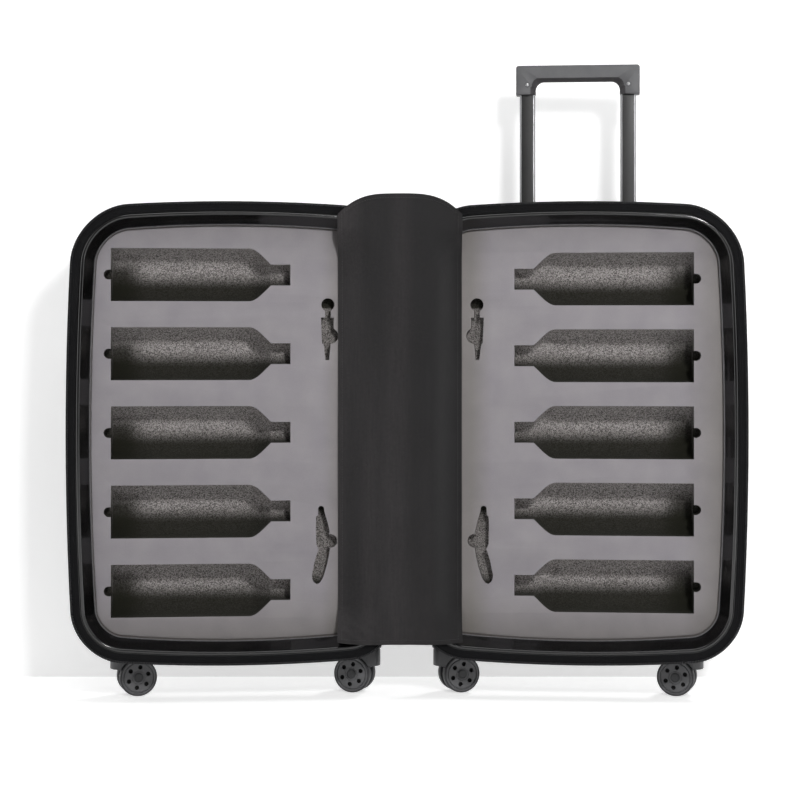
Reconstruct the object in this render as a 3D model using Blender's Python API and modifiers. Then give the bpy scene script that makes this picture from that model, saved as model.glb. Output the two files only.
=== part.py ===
"""A hard-shell wine suitcase, standing open like a book on its four casters.

Units are metres, +Z is up, and the viewer stands at -Y. The floor is z = 0, under the wheels.
Each half is built in its own frame, which hangs on the vertical hinge axis: `across` runs from the
hinge to the outer side, `deep` from the plane of the rims to the back, and `up` from the floor.
The rear half stands at +X and carries the trolley; the front half at -X is its mirror image.
"""

import math

import bmesh
import bpy
from mathutils import Euler, Matrix, Vector

# The half shells
HALF_WIDTH = 0.545
HALF_HEIGHT = 0.750
HALF_DEPTH = 0.150
SHELL_WALL = 0.0024
SIDE_BULGE = 0.012
TOP_CORNER_RADIUS = 0.088
BOTTOM_CORNER_RADIUS = 0.077
BACK_ROUNDING = 0.028
SHELL_BOTTOM_HEIGHT = 0.062
CORNER_STEPS = 5
SIDE_STEPS = 5
BACK_STEPS = 4

# The ribs pressed into the back of each shell
RIB_COUNT = 7
RIB_PITCH = 0.060
RIB_WIDTH = 0.018
RIB_RISE = 0.0025
RIB_ROOT = 0.0015
RIB_LENGTH = 0.560
RIB_SHORTENING = 0.018

# The hinge: its axis stands in front of the rims, and a little beside both shells
HINGE_LEAD = 0.0045
HINGE_SIDE_GAP = 0.005
OPEN_YAW = math.radians(5)

# Gaps
CLEARANCE = 0.0003
RUNNING_GAP = 0.0004
CUT_OVERRUN = 0.004

# The zip tape round each mouth, with the bead of its coil
TAPE_OUTSET = 0.001
TAPE_REACH = 0.014
TAPE_THICKNESS = 0.0012
COIL_WIDTH = 0.004
COIL_HEIGHT = 0.0033

# The rim frame: a flange under the tape, a crest, and a slope down to the foam
FRAME_FLANGE_REACH = 0.015
FRAME_FLANGE_THICKNESS = 0.0026
FRAME_CREST_INSET = 0.0195
FRAME_CREST_RISE = 0.0032
FRAME_SLOPE_INSET = 0.035
FRAME_SLOPE_DEEP = 0.0195
FRAME_WALL = 0.0026

# The lining band, and the foam insert that it borders
INSERT_INSET = 0.038
LINING_THICKNESS = 0.001
LINING_SKIRT_DEEP = 0.045
FACE_DEEP = 0.027
FACE_THICKNESS = 0.003

# The bottle cavities, in one column, all with their necks towards the hinge
BOTTLE_COUNT = 5
FRONT_BOTTLE_PITCH = 0.1288
REAR_BOTTLE_PITCH = 0.1254
CUT_OUT_SHIFT = 0.0075
BOTTLE_BASE_ACROSS = 0.473
BOTTLE_LENGTH = 0.2915
BODY_LENGTH = 0.224
SHOULDER_LENGTH = 0.036
BODY_RADIUS = 0.043
NECK_RADIUS = 0.017
BOTTLE_AXIS_DEPTH = 0.024
SHOULDER_STEPS = 4
ROUND_BOTTOM_STEPS = 6
NOTCH_RADIUS = 0.008
NOTCH_DEPTH = 0.040
NOTCH_OUT = 0.0035
NOTCH_STEPS = 4

# The recess for the ball-topped bottle stopper
STOPPER_ACROSS = 0.120
STOPPER_TOP_UP = 0.655
STOPPER_LENGTH = 0.098
STOPPER_BALL_RADIUS = 0.0108
STOPPER_STEM_WIDTH = 0.0093
STOPPER_COLLAR_WIDTH = 0.020
STOPPER_WAIST_WIDTH = 0.012
STOPPER_TIP_WIDTH = 0.0075
STOPPER_THUMB_RADIUS = 0.013

# The recess for the corkscrew
OPENER_ACROSS = 0.130
OPENER_TOP_UP = 0.316
OPENER_LENGTH = 0.138
OPENER_HEAD_RADIUS = 0.005
OPENER_BODY_WIDTH = 0.017
OPENER_TAIL_RADIUS = 0.0098
OPENER_THUMB_RADIUS = 0.0100
RECESS_DEPTH = 0.022

# The trolley
TROLLEY_DEEP = 0.110
TUBE_PITCH = 0.168
TUBE_WIDTH = 0.026
TUBE_DEPTH = 0.014
TUBE_WALL = 0.0014
TUBE_CORNER = 0.003
TUBE_SLIDE_GAP = 0.0005
OUTER_TUBE_WALL = 0.0015
TUBE_ENGAGED = 0.150
GRIP_TOP_UP = 1.0475
GRIP_WIDTH = 0.206
GRIP_HEIGHT = 0.0488
GRIP_DEPTH = 0.030
GRIP_BAR_HEIGHT = 0.0266
GRIP_LEG_WIDTH = 0.033
GRIP_EDGE = 0.003
GRIP_OPENING_RADIUS = 0.012
GRIP_OPENING_STEPS = 4
GRIP_SOCKET_DEPTH = 0.020
BUTTON_LENGTH = 0.030
BUTTON_WIDTH = 0.012
BUTTON_HEIGHT = 0.006
BUTTON_PROUD = 0.0008
BUTTON_POCKET_DEPTH = 0.0105
TRAY_LENGTH = 0.222
TRAY_WIDTH = 0.040
TRAY_HEIGHT = 0.016
TRAY_WALL = 0.0025
TRAY_PROUD = 0.0015
FOOT_LENGTH = 0.210
FOOT_WIDTH = 0.026
FOOT_HEIGHT = 0.024
FOOT_STAND = 0.003
GROOVE_GAP = 0.001

# The recessed carry handles
CUP_LENGTH = 0.200
CUP_WIDTH = 0.040
CUP_DEPTH = 0.022
CUP_WALL = 0.0022
CUP_PROUD = 0.001
STRAP_LENGTH = 0.170
STRAP_WIDTH = 0.018
STRAP_THICKNESS = 0.006
STRAP_SUNK = 0.0004
STRAP_LEG_LENGTH = 0.027
STRAP_LEG_WIDTH = 0.009
STRAP_LEG_INSET = 0.006
STRAP_FOOT_REACH = 0.003
STRAP_FOOT_HEIGHT = 0.002
STRAP_SLOT_GAP = 0.0004
TOP_HANDLE_DEEP = 0.056
SIDE_HANDLE_DEEP = 0.078

# The combination lock
LOCK_LENGTH = 0.064
LOCK_WIDTH = 0.028
LOCK_DEPTH = 0.016
LOCK_PROUD = 0.0006
LOCK_DEEP = 0.043
DIAL_COUNT = 3
DIAL_RADIUS = 0.007
DIAL_THICKNESS = 0.005
DIAL_PITCH = 0.0085
DIAL_PROUD = 0.001
DIAL_COLUMN_UP = 0.010
DIAL_STEPS = 20
LOCK_BUTTON_SIZE = 0.009
LOCK_BUTTON_HEIGHT = 0.005
LOCK_BUTTON_PROUD = 0.0012
LOCK_BUTTON_POCKET = 0.0075
LOCK_BUTTON_DOWN = 0.021
PULLER_SLOT_LENGTH = 0.009
PULLER_SLOT_WIDTH = 0.0026
PULLER_SLOT_DEPTH = 0.006
PULLER_SLOT_BACK = 0.0042

# The zip sliders and their pullers, parked round the top corner by the hinge
SLIDER_FACETS = (1, 2)
SLIDER_LENGTH = 0.010
SLIDER_WIDTH = 0.008
SLIDER_HEIGHT = 0.003
PULLER_LENGTH = 0.025
PULLER_WIDTH = 0.007
PULLER_THICKNESS = 0.0016
PULLER_EYE = 0.0012

# The pads under the two halves
PAD_WIDTH = 0.030
PAD_DEEP = 0.042
PAD_DROP = 0.0025
FRONT_PAD_LENGTH = 0.052
REAR_PAD_LENGTH = 0.073
REAR_PAD_OFFSET = 0.012

# The casters
CASTER_ACROSS = (0.0583, 0.4630)
CASTER_YAWS = (math.radians(22), math.radians(12))
CASTER_DEEP = 0.088
WHEEL_RADIUS = 0.031
WHEEL_WIDTH = 0.013
WHEEL_TREAD_EDGE = 0.0012
WHEEL_GAP = 0.012
WHEEL_STEPS = 20
WHEEL_HOLE_COUNT = 6
WHEEL_HOLE_RADIUS = 0.00375
WHEEL_HOLE_RING = 0.017
WHEEL_HOLE_STEPS = 6
TRAIL = 0.022
AXLE_RADIUS = 0.003
AXLE_CAP_RADIUS = 0.0078
AXLE_CAP_HEIGHT = 0.0012
AXLE_STEPS = 12
FORK_RADIUS = 0.022
FORK_TOP_UP = 0.0740
FORK_SKIRT_UP = 0.045
FORK_WEB = 0.0104
FORK_BOSS_RADIUS = 0.009
WHEEL_SWEEP_GAP = 0.002
STEM_RADIUS = 0.005
STEM_HEIGHT = 0.010
MOUNT_RADIUS = 0.024
MOUNT_TOP_UP = 0.100
MOUNT_BORE_DEPTH = 0.012
ROUND_STEPS = 16
WEB_STEPS = 8

# The fabric over the hinge
COVER_LEFT = 0.113
COVER_RIGHT = 0.090
COVER_TOP_UP = 0.827
COVER_BOTTOM_UP = 0.092
COVER_TOP_DROP = 0.035
COVER_BOTTOM_RISE = 0.005
COVER_FRONT = 0.0085
COVER_THICKNESS = 0.0018
COVER_FLAT_HALF_WIDTH = 0.030
COVER_LIFT_LENGTH = 0.055
COVER_VALLEY = 0.003
COVER_VALLEY_ACROSS = -0.026
COVER_VALLEY_WIDTH = 0.016
COVER_COLUMNS = 18
COVER_ROWS = 14
HINGE_TAPE_HALF_WIDTH = 0.020
HINGE_TAPE_THICKNESS = 0.0012
HINGE_TAPE_END = 0.060

# Sizes worked out from the ones above
HALF_CENTRE = HINGE_SIDE_GAP + HALF_WIDTH / 2
MIDDLE_UP = SHELL_BOTTOM_HEIGHT + HALF_HEIGHT / 2
OUTER_ACROSS = HINGE_SIDE_GAP + HALF_WIDTH
SHELL_TOP_UP = SHELL_BOTTOM_HEIGHT + HALF_HEIGHT
BACK_INSIDE = HALF_DEPTH - SHELL_WALL
CORE_DEEP = FACE_DEEP + FACE_THICKNESS + CLEARANCE
BOTTLE_AXIS_DEEP = FACE_DEEP + BOTTLE_AXIS_DEPTH
NECK_END_ACROSS = BOTTLE_BASE_ACROSS - BOTTLE_LENGTH
SHOULDER_ACROSS = BOTTLE_BASE_ACROSS - BODY_LENGTH
NECK_START_ACROSS = SHOULDER_ACROSS - SHOULDER_LENGTH
OUTER_TUBE_WIDTH = TUBE_WIDTH + 2 * (TUBE_SLIDE_GAP + OUTER_TUBE_WALL)
OUTER_TUBE_DEPTH = TUBE_DEPTH + 2 * (TUBE_SLIDE_GAP + OUTER_TUBE_WALL)
GRIP_BOTTOM_UP = GRIP_TOP_UP - GRIP_HEIGHT
TRAY_TOP_UP = SHELL_TOP_UP + TRAY_PROUD
TRAY_BOTTOM_UP = TRAY_TOP_UP - TRAY_HEIGHT
FOOT_BOTTOM_UP = SHELL_BOTTOM_HEIGHT + SHELL_WALL + FOOT_STAND
FOOT_TOP_UP = FOOT_BOTTOM_UP + FOOT_HEIGHT
AXLE_LENGTH = WHEEL_GAP + 2 * WHEEL_WIDTH
WHEEL_OFFSET = (WHEEL_GAP + WHEEL_WIDTH) / 2
COIL_LEAD = HINGE_LEAD - CLEARANCE - COIL_HEIGHT
BACK_CORNER_ACROSS = HINGE_SIDE_GAP + BACK_ROUNDING
FRONT_REACH = OUTER_ACROSS * math.sin(OPEN_YAW) - COIL_LEAD * math.cos(OPEN_YAW)
BACK_REACH = (HINGE_LEAD + HALF_DEPTH) * math.cos(OPEN_YAW) - BACK_CORNER_ACROSS * math.sin(OPEN_YAW)
HINGE_Y = (FRONT_REACH - BACK_REACH) / 2

REAR, FRONT = 1, -1


def make_material(name, colour, roughness, metallic=0.0):
    """A Principled material of one colour."""
    material = bpy.data.materials.new(name)
    material.use_nodes = True
    shader = material.node_tree.nodes["Principled BSDF"]
    shader.inputs["Base Color"].default_value = (*colour, 1.0)
    shader.inputs["Roughness"].default_value = roughness
    shader.inputs["Metallic"].default_value = metallic
    return material


def make_collection(name):
    """A new collection under the scene."""
    collection = bpy.data.collections.new(name)
    bpy.context.scene.collection.children.link(collection)
    return collection


def make_empty(name, location=(0, 0, 0), turn=0.0, parent=None):
    """An empty on a joint's axis, turned about the vertical."""
    empty = bpy.data.objects.new(name, None)
    empty.location = location
    empty.rotation_euler = (0, 0, turn)
    empty.parent = parent
    PARTS.objects.link(empty)
    return empty


def add_object(name, data, finish=None, parent=None, cutter=False):
    """An object in the parts, or among the cutters, which aren't part of the model."""
    item = bpy.data.objects.new(name, data)
    item.parent = parent
    (CUTTERS if cutter else PARTS).objects.link(item)
    if cutter:
        item.hide_render = True
        item.display_type = "WIRE"
    else:
        data.materials.append(FINISHES[finish])
    return item


def mesh_of(name, mesh_builder):
    """A mesh from a bmesh, its faces pointing out."""
    bmesh.ops.recalc_face_normals(mesh_builder, faces=mesh_builder.faces)
    mesh = bpy.data.meshes.new(name)
    mesh_builder.to_mesh(mesh)
    mesh_builder.free()
    return mesh


def smooth(mesh, angle=math.radians(35)):
    """Shade a round piece smooth, up to its real edges."""
    mesh.shade_smooth()
    mesh.set_sharp_from_angle(angle=angle)


def baked(item, name):
    """The finished mesh of an object with modifiers, or of a curve, in its own frame; the object goes."""
    bpy.context.view_layer.update()
    graph = bpy.context.evaluated_depsgraph_get()
    mesh = bpy.data.meshes.new_from_object(item.evaluated_get(graph))
    mesh.name = name
    builder = bmesh.new()
    builder.from_mesh(mesh)
    bmesh.ops.remove_doubles(builder, verts=builder.verts, dist=WELD)
    bmesh.ops.recalc_face_normals(builder, faces=builder.faces)
    builder.to_mesh(mesh)
    builder.free()
    mesh.materials.clear()
    bpy.data.objects.remove(item)
    return mesh


def bevel(item, width, segments=1):
    """Rounded or chamfered edges."""
    modifier = item.modifiers.new("edges", "BEVEL")
    modifier.width = width
    modifier.segments = segments
    modifier.limit_method = "ANGLE"


def cut(item, *cutters, operation="DIFFERENCE"):
    """Take cutters out of an object, or join them to it."""
    for cutter in cutters:
        modifier = item.modifiers.new(cutter.name, "BOOLEAN")
        modifier.operation = operation
        modifier.solver = "EXACT"
        modifier.object = cutter


def spot(side, across, deep, up):
    """A point of one half, in that half's frame."""
    return Vector((side * across, HINGE_LEAD + deep, up))


def box_mesh(name, size, centre=(0, 0, 0)):
    """A box by its size and centre."""
    builder = bmesh.new()
    bmesh.ops.create_cube(builder, size=1.0)
    bmesh.ops.scale(builder, vec=size, verts=builder.verts)
    bmesh.ops.translate(builder, vec=centre, verts=builder.verts)
    return mesh_of(name, builder)


def rod_mesh(name, radius, length, steps, centre=(0, 0, 0), axis="Z"):
    """A straight cylinder along an axis, by its centre."""
    turns = {
        "X": Matrix.Rotation(math.pi / 2, 3, "Y"),
        "Y": Matrix.Rotation(math.pi / 2, 3, "X"),
        "Z": Matrix.Identity(3),
    }
    builder = bmesh.new()
    bmesh.ops.create_cone(
        builder, cap_ends=True, segments=steps, radius1=radius, radius2=radius, depth=length
    )
    bmesh.ops.rotate(builder, cent=(0, 0, 0), matrix=turns[axis], verts=builder.verts)
    bmesh.ops.translate(builder, vec=centre, verts=builder.verts)
    return mesh_of(name, builder)


def flat_curve(name, loops, thickness, edge=0.0):
    """A flat outline with holes, in the curve's own XY plane, as thick as stated."""
    curve = bpy.data.curves.new(name, "CURVE")
    curve.dimensions = "2D"
    curve.fill_mode = "BOTH"
    curve.extrude = thickness / 2 - edge
    curve.bevel_depth = edge
    curve.bevel_resolution = 0
    curve.offset = -edge
    for loop in loops:
        spline = curve.splines.new("POLY")
        spline.points.add(len(loop) - 1)
        for point, (x, y) in zip(spline.points, loop):
            point.co = (x, y, 0, 1)
        spline.use_cyclic_u = True
    return curve


def upright_sheet(name, loops, side, deep, thickness):
    """A sheet that faces the viewer: its outline is across and up, its front lies at deep."""
    curve = flat_curve(name, [[(side * x, z) for x, z in loop] for loop in loops], thickness)
    item = bpy.data.objects.new(name, curve)
    PARTS.objects.link(item)
    mesh = baked(item, name)
    mesh.transform(Matrix.Rotation(math.pi / 2, 4, "X"))
    mesh.transform(Matrix.Translation((0, HINGE_LEAD + deep + thickness / 2, 0)))
    return mesh


def outline(inset=0.0):
    """The outline of a half, drawn in by inset: across and up, round all four corners.

    A rounded rectangle whose sides then swell outwards, most in their middle.
    """
    half_width = HALF_WIDTH / 2 - SIDE_BULGE - inset
    half_height = HALF_HEIGHT / 2 - SIDE_BULGE - inset
    top = TOP_CORNER_RADIUS - inset
    bottom = BOTTOM_CORNER_RADIUS - inset
    corners = (
        (half_width - bottom, bottom - half_height, bottom, -math.pi / 2),
        (half_width - top, half_height - top, top, 0),
        (top - half_width, half_height - top, top, math.pi / 2),
        (bottom - half_width, bottom - half_height, bottom, math.pi),
    )
    points = []
    for x, z, radius, start in corners:
        for step in range(CORNER_STEPS + 1):
            angle = start + step * math.pi / 2 / CORNER_STEPS
            points.append(Vector((x + radius * math.cos(angle), z + radius * math.sin(angle))))
    straight = []
    for index, point in enumerate(points):
        straight.append(point)
        if index % (CORNER_STEPS + 1) == CORNER_STEPS:
            following = points[(index + 1) % len(points)]
            straight += [point.lerp(following, step / SIDE_STEPS) for step in range(1, SIDE_STEPS)]
    return [
        (
            HALF_CENTRE + x + SIDE_BULGE * x / half_width * (1 - (z / half_height) ** 2),
            MIDDLE_UP + z + SIDE_BULGE * z / half_height * (1 - (x / half_width) ** 2),
        )
        for x, z in straight
    ]


def loft(name, side, rings, around=True):
    """Faces between rings of an outline; `around` joins the last ring to the first."""
    builder = bmesh.new()
    rows = [
        [builder.verts.new(spot(side, x, deep, z)) for x, z in outline(inset)] for inset, deep in rings
    ]
    pairs = list(zip(rows, rows[1:])) + ([(rows[-1], rows[0])] if around else [])
    for one, other in pairs:
        for index in range(len(one)):
            after = (index + 1) % len(one)
            builder.faces.new((one[index], one[after], other[after], other[index]))
    if not around:
        builder.faces.new(rows[-1])
    return mesh_of(name, builder)


def make_shell(half, side):
    """One vacuum-formed shell: an open tray with rounded back edges and pressed ribs."""
    name = f"{half}_shell"
    rings = [(0, 0), (0, HALF_DEPTH - BACK_ROUNDING)]
    for step in range(1, BACK_STEPS + 1):
        angle = step * math.pi / 2 / BACK_STEPS
        inset = BACK_ROUNDING * (1 - math.cos(angle))
        rings.append((inset, HALF_DEPTH - BACK_ROUNDING * (1 - math.sin(angle))))
    mesh = loft(name, side, rings, around=False)
    item = add_object(name, mesh, "shell", AXES[side])
    if mesh.polygons[-1].normal.y < 0:
        mesh.flip_normals()
    wall = item.modifiers.new("wall", "SOLIDIFY")
    wall.thickness = SHELL_WALL
    wall.offset = -1
    wall.use_even_offset = True
    middle = (RIB_COUNT - 1) / 2
    for index in range(RIB_COUNT):
        place = index - middle
        size = (RIB_WIDTH, RIB_RISE + RIB_ROOT, RIB_LENGTH - abs(place) * RIB_SHORTENING)
        deep = HALF_DEPTH + (RIB_RISE - RIB_ROOT) / 2
        centre = spot(side, HALF_CENTRE + place * RIB_PITCH, deep, MIDDLE_UP)
        rib_name = f"{name}_rib_{index + 1}"
        rib = add_object(rib_name, box_mesh(rib_name, size, centre), parent=AXES[side], cutter=True)
        bevel(rib, RIB_RISE * 0.8)
        cut(item, rib, operation="UNION")
    return item


def make_mouth(half, side):
    """What lies round the mouth of a half: zip tape, rim frame and lining band."""
    tape_back = -CLEARANCE
    tape_front = tape_back - TAPE_THICKNESS
    coil_front = tape_back - COIL_HEIGHT
    coil_inset = COIL_WIDTH - TAPE_OUTSET
    tape = (
        (-TAPE_OUTSET, tape_back),
        (-TAPE_OUTSET, coil_front),
        (coil_inset, coil_front),
        (coil_inset, tape_front),
        (TAPE_REACH, tape_front),
        (TAPE_REACH, tape_back),
    )
    name = f"{half}_zip_tape"
    add_object(name, loft(name, side, tape), "zip_tape", AXES[side])

    frame_inset = SHELL_WALL + CLEARANCE
    slope = Vector((FRAME_SLOPE_INSET - FRAME_CREST_INSET, FRAME_SLOPE_DEEP + FRAME_CREST_RISE))
    slope_back = Vector((-slope.y, slope.x)).normalized() * FRAME_WALL
    frame = (
        (frame_inset, 0),
        (FRAME_FLANGE_REACH, 0),
        (FRAME_CREST_INSET, -FRAME_CREST_RISE),
        (FRAME_SLOPE_INSET, FRAME_SLOPE_DEEP),
        (FRAME_SLOPE_INSET + slope_back.x, FRAME_SLOPE_DEEP + slope_back.y),
        (FRAME_CREST_INSET + slope_back.x, FRAME_FLANGE_THICKNESS),
        (frame_inset, FRAME_FLANGE_THICKNESS),
    )
    name = f"{half}_rim_frame"
    add_object(name, loft(name, side, frame), "rim", AXES[side])

    lining_inset = INSERT_INSET - CLEARANCE
    start_deep = FRAME_SLOPE_DEEP + slope_back.y + CLEARANCE
    lining = (
        (FRAME_SLOPE_INSET, start_deep),
        (lining_inset, FACE_DEEP - LINING_THICKNESS),
        (lining_inset, LINING_SKIRT_DEEP),
        (lining_inset - LINING_THICKNESS, LINING_SKIRT_DEEP),
        (lining_inset - LINING_THICKNESS, FACE_DEEP),
        (FRAME_SLOPE_INSET - LINING_THICKNESS, start_deep + LINING_THICKNESS),
    )
    name = f"{half}_lining"
    add_object(name, loft(name, side, lining), "lining", AXES[side])


def shifted(side, points):
    """Cut-out points of one half: all of them lie further out in the front half than in the rear one."""
    return [(across - side * CUT_OUT_SHIFT, other) for across, other in points]


def bottle_stations(side):
    """Where a bottle lies along its length: (across, radius), from the base to the mouth."""
    stations = [(BOTTLE_BASE_ACROSS, BODY_RADIUS), (SHOULDER_ACROSS, BODY_RADIUS)]
    for step in range(1, SHOULDER_STEPS):
        angle = step * math.pi / 2 / SHOULDER_STEPS
        across = SHOULDER_ACROSS - SHOULDER_LENGTH * math.sin(angle)
        stations.append((across, NECK_RADIUS + (BODY_RADIUS - NECK_RADIUS) * math.cos(angle)))
    stations += [(NECK_START_ACROSS, NECK_RADIUS), (NECK_END_ACROSS, NECK_RADIUS)]
    return shifted(side, stations)


def bottle_heights(side):
    """The heights of the bottles' axes, from the lowest."""
    pitch = REAR_BOTTLE_PITCH if side == REAR else FRONT_BOTTLE_PITCH
    middle = (BOTTLE_COUNT - 1) / 2
    return [MIDDLE_UP + (index - middle) * pitch for index in range(BOTTLE_COUNT)]


def bottle_outline(side, up):
    """The cut-out of one bottle in the face sheet, with the finger notch at its base."""
    stations = bottle_stations(side)
    base = stations[0][0]
    low = [(across, up - radius) for across, radius in stations]
    high = [(across, up + radius) for across, radius in reversed(stations)]
    notch = []
    for step in range(NOTCH_STEPS + 1):
        angle = math.pi / 2 - step * math.pi / NOTCH_STEPS
        notch.append(
            (
                base + NOTCH_OUT + NOTCH_RADIUS * math.cos(angle),
                up + NOTCH_RADIUS * math.sin(angle),
            )
        )
    start = [(base, up + NOTCH_RADIUS)]
    end = [(base, up - NOTCH_RADIUS)]
    return low + high + start + notch + end


def bottle_cutter(name, side, up):
    """A bottle lying in the foam: round below its axis, and open straight up to the face."""
    builder = bmesh.new()
    rows = []
    for across, radius in bottle_stations(side):
        row = [spot(side, across, FACE_DEEP, up + radius)]
        for step in range(ROUND_BOTTOM_STEPS + 1):
            angle = step * math.pi / ROUND_BOTTOM_STEPS
            deep = BOTTLE_AXIS_DEEP + radius * math.sin(angle)
            row.append(spot(side, across, deep, up + radius * math.cos(angle)))
        row.append(spot(side, across, FACE_DEEP, up - radius))
        rows.append([builder.verts.new(point) for point in row])
    for one, other in zip(rows, rows[1:]):
        for index in range(len(one)):
            after = (index + 1) % len(one)
            builder.faces.new((one[index], one[after], other[after], other[index]))
    builder.faces.new(rows[0])
    builder.faces.new(rows[-1])
    return add_object(name, mesh_of(name, builder), parent=AXES[side], cutter=True)


def arc(centre, radius, start, end, steps):
    """Points on an arc, both ends included, with angles in degrees."""
    points = []
    for step in range(steps + 1):
        angle = math.radians(start + (end - start) * step / steps)
        points.append((centre[0] + radius * math.cos(angle), centre[1] + radius * math.sin(angle)))
    return points


def stopper_outline():
    """The stopper's recess: ball, stem, collar with a thumb hollow towards the hinge, tapered tip."""
    length_shares = {"ball": 0.89, "collar": 0.62, "waist": 0.27}
    stem_angle = math.degrees(math.asin(STOPPER_STEM_WIDTH / 2 / STOPPER_BALL_RADIUS))
    bottom = STOPPER_TOP_UP - STOPPER_LENGTH
    ups = {key: bottom + share * STOPPER_LENGTH for key, share in length_shares.items()}
    thumb = (STOPPER_ACROSS - STOPPER_WAIST_WIDTH / 2, ups["waist"] + STOPPER_THUMB_RADIUS * 0.8)
    ball = arc((STOPPER_ACROSS, ups["ball"]), STOPPER_BALL_RADIUS, -90 + stem_angle, 270 - stem_angle, 9)
    return (
        ball
        + [
            (STOPPER_ACROSS - STOPPER_STEM_WIDTH / 2, ups["collar"]),
            (STOPPER_ACROSS - STOPPER_COLLAR_WIDTH / 2, ups["collar"]),
        ]
        + arc(thumb, STOPPER_THUMB_RADIUS, 118, 240, 4)
        + [
            (STOPPER_ACROSS - STOPPER_WAIST_WIDTH / 2, ups["waist"]),
            (STOPPER_ACROSS - STOPPER_TIP_WIDTH / 2, bottom),
            (STOPPER_ACROSS + STOPPER_TIP_WIDTH / 2, bottom),
            (STOPPER_ACROSS + STOPPER_WAIST_WIDTH / 2, ups["waist"]),
            (STOPPER_ACROSS + STOPPER_COLLAR_WIDTH / 2, ups["collar"]),
            (STOPPER_ACROSS + STOPPER_STEM_WIDTH / 2, ups["collar"]),
        ]
    )


def opener_outline():
    """The corkscrew's recess: round head, body that widens to the hinge, thumb hollow, curved tail."""
    head_up = OPENER_TOP_UP - OPENER_HEAD_RADIUS
    tail_up = OPENER_TOP_UP - OPENER_LENGTH + OPENER_TAIL_RADIUS
    outer = OPENER_ACROSS + OPENER_BODY_WIDTH / 2
    inner = OPENER_ACROSS - OPENER_BODY_WIDTH / 2
    body_up = OPENER_TOP_UP - OPENER_LENGTH * 0.50
    thumb = (inner, OPENER_TOP_UP - OPENER_LENGTH * 0.42)
    tail_across = outer - OPENER_TAIL_RADIUS * 0.4
    return (
        arc((OPENER_ACROSS, head_up), OPENER_HEAD_RADIUS, 0, 180, 4)
        + [(OPENER_ACROSS - OPENER_HEAD_RADIUS * 1.2, OPENER_TOP_UP - OPENER_LENGTH * 0.14)]
        + arc(thumb, OPENER_THUMB_RADIUS, 110, 250, 4)
        + [(tail_across - OPENER_TAIL_RADIUS * 1.15, body_up - OPENER_LENGTH * 0.16)]
        + arc((tail_across, tail_up), OPENER_TAIL_RADIUS, 180, 360, 5)
        + [(outer + OPENER_TAIL_RADIUS * 0.2, body_up - OPENER_LENGTH * 0.14), (outer, body_up)]
        + [(outer, OPENER_TOP_UP - OPENER_LENGTH * 0.10)]
    )


def make_insert(half, side):
    """The foam insert: a grey face sheet with cut-outs, glued on a charcoal core with the cavities."""
    small = {"stopper": stopper_outline(), "opener": opener_outline()}
    small = {key: shifted(side, points) for key, points in small.items()}
    cut_outs = [bottle_outline(side, up) for up in bottle_heights(side)] + list(small.values())
    name = f"{half}_foam_face"
    sheet = upright_sheet(name, [outline(INSERT_INSET), *cut_outs], side, FACE_DEEP, FACE_THICKNESS)
    add_object(name, sheet, "foam_face", AXES[side])

    name = f"{half}_foam_core"
    thickness = BACK_INSIDE - CLEARANCE - CORE_DEEP
    block = upright_sheet(name, [outline(INSERT_INSET)], side, CORE_DEEP, thickness)
    core = add_object(name, block, "foam_core", AXES[side])
    base = bottle_stations(side)[0][0]
    for index, up in enumerate(bottle_heights(side)):
        cut(core, bottle_cutter(f"{half}_bottle_{index + 1}", side, up))
        notch_name = f"{half}_notch_{index + 1}"
        centre = spot(side, base + NOTCH_OUT, FACE_DEEP + NOTCH_DEPTH / 2, up)
        notch = rod_mesh(notch_name, NOTCH_RADIUS, NOTCH_DEPTH, 2 * NOTCH_STEPS, centre, "Y")
        cut(core, add_object(notch_name, notch, parent=AXES[side], cutter=True))
    for key, points in small.items():
        cutter_name = f"{half}_{key}_recess"
        recess = upright_sheet(cutter_name, [points], side, FACE_DEEP, RECESS_DEPTH)
        cut(core, add_object(cutter_name, recess, parent=AXES[side], cutter=True))
    return core


def rounded_rectangle(width, depth, corner, centre=(0, 0)):
    """A rectangle with its corners cut off, as plan points."""
    x, y = width / 2, depth / 2
    corners = ((x, y - corner), (x - corner, y), (corner - x, y), (-x, y - corner))
    low = [(-a, -b) for a, b in corners]
    return [(centre[0] + a, centre[1] + b) for a, b in (*corners, *low)]


def standing_tube(name, finish, parent, centre, size, wall, bottom, top):
    """A hollow upright tube of rectangular section, open at both ends."""
    width, depth = size
    outer = rounded_rectangle(width, depth, TUBE_CORNER)
    inner = rounded_rectangle(width - 2 * wall, depth - 2 * wall, TUBE_CORNER - wall)
    item = bpy.data.objects.new(name, flat_curve(name, [outer, inner], top - bottom))
    PARTS.objects.link(item)
    mesh = baked(item, name)
    mesh.transform(Matrix.Translation((*centre, (top + bottom) / 2)))
    return add_object(name, mesh, finish, parent)


def box_cutter(name, size, centre, parent):
    """A box that takes material away."""
    return add_object(name, box_mesh(name, size, centre), parent=parent, cutter=True)


def trolley_places(side):
    """The plan positions of the two tubes in the rear half's frame."""
    for key, way in (("left", -1), ("right", 1)):
        centre = spot(side, HALF_CENTRE + way * TUBE_PITCH / 2, TROLLEY_DEEP, 0)
        yield key, (centre.x, centre.y)


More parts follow.
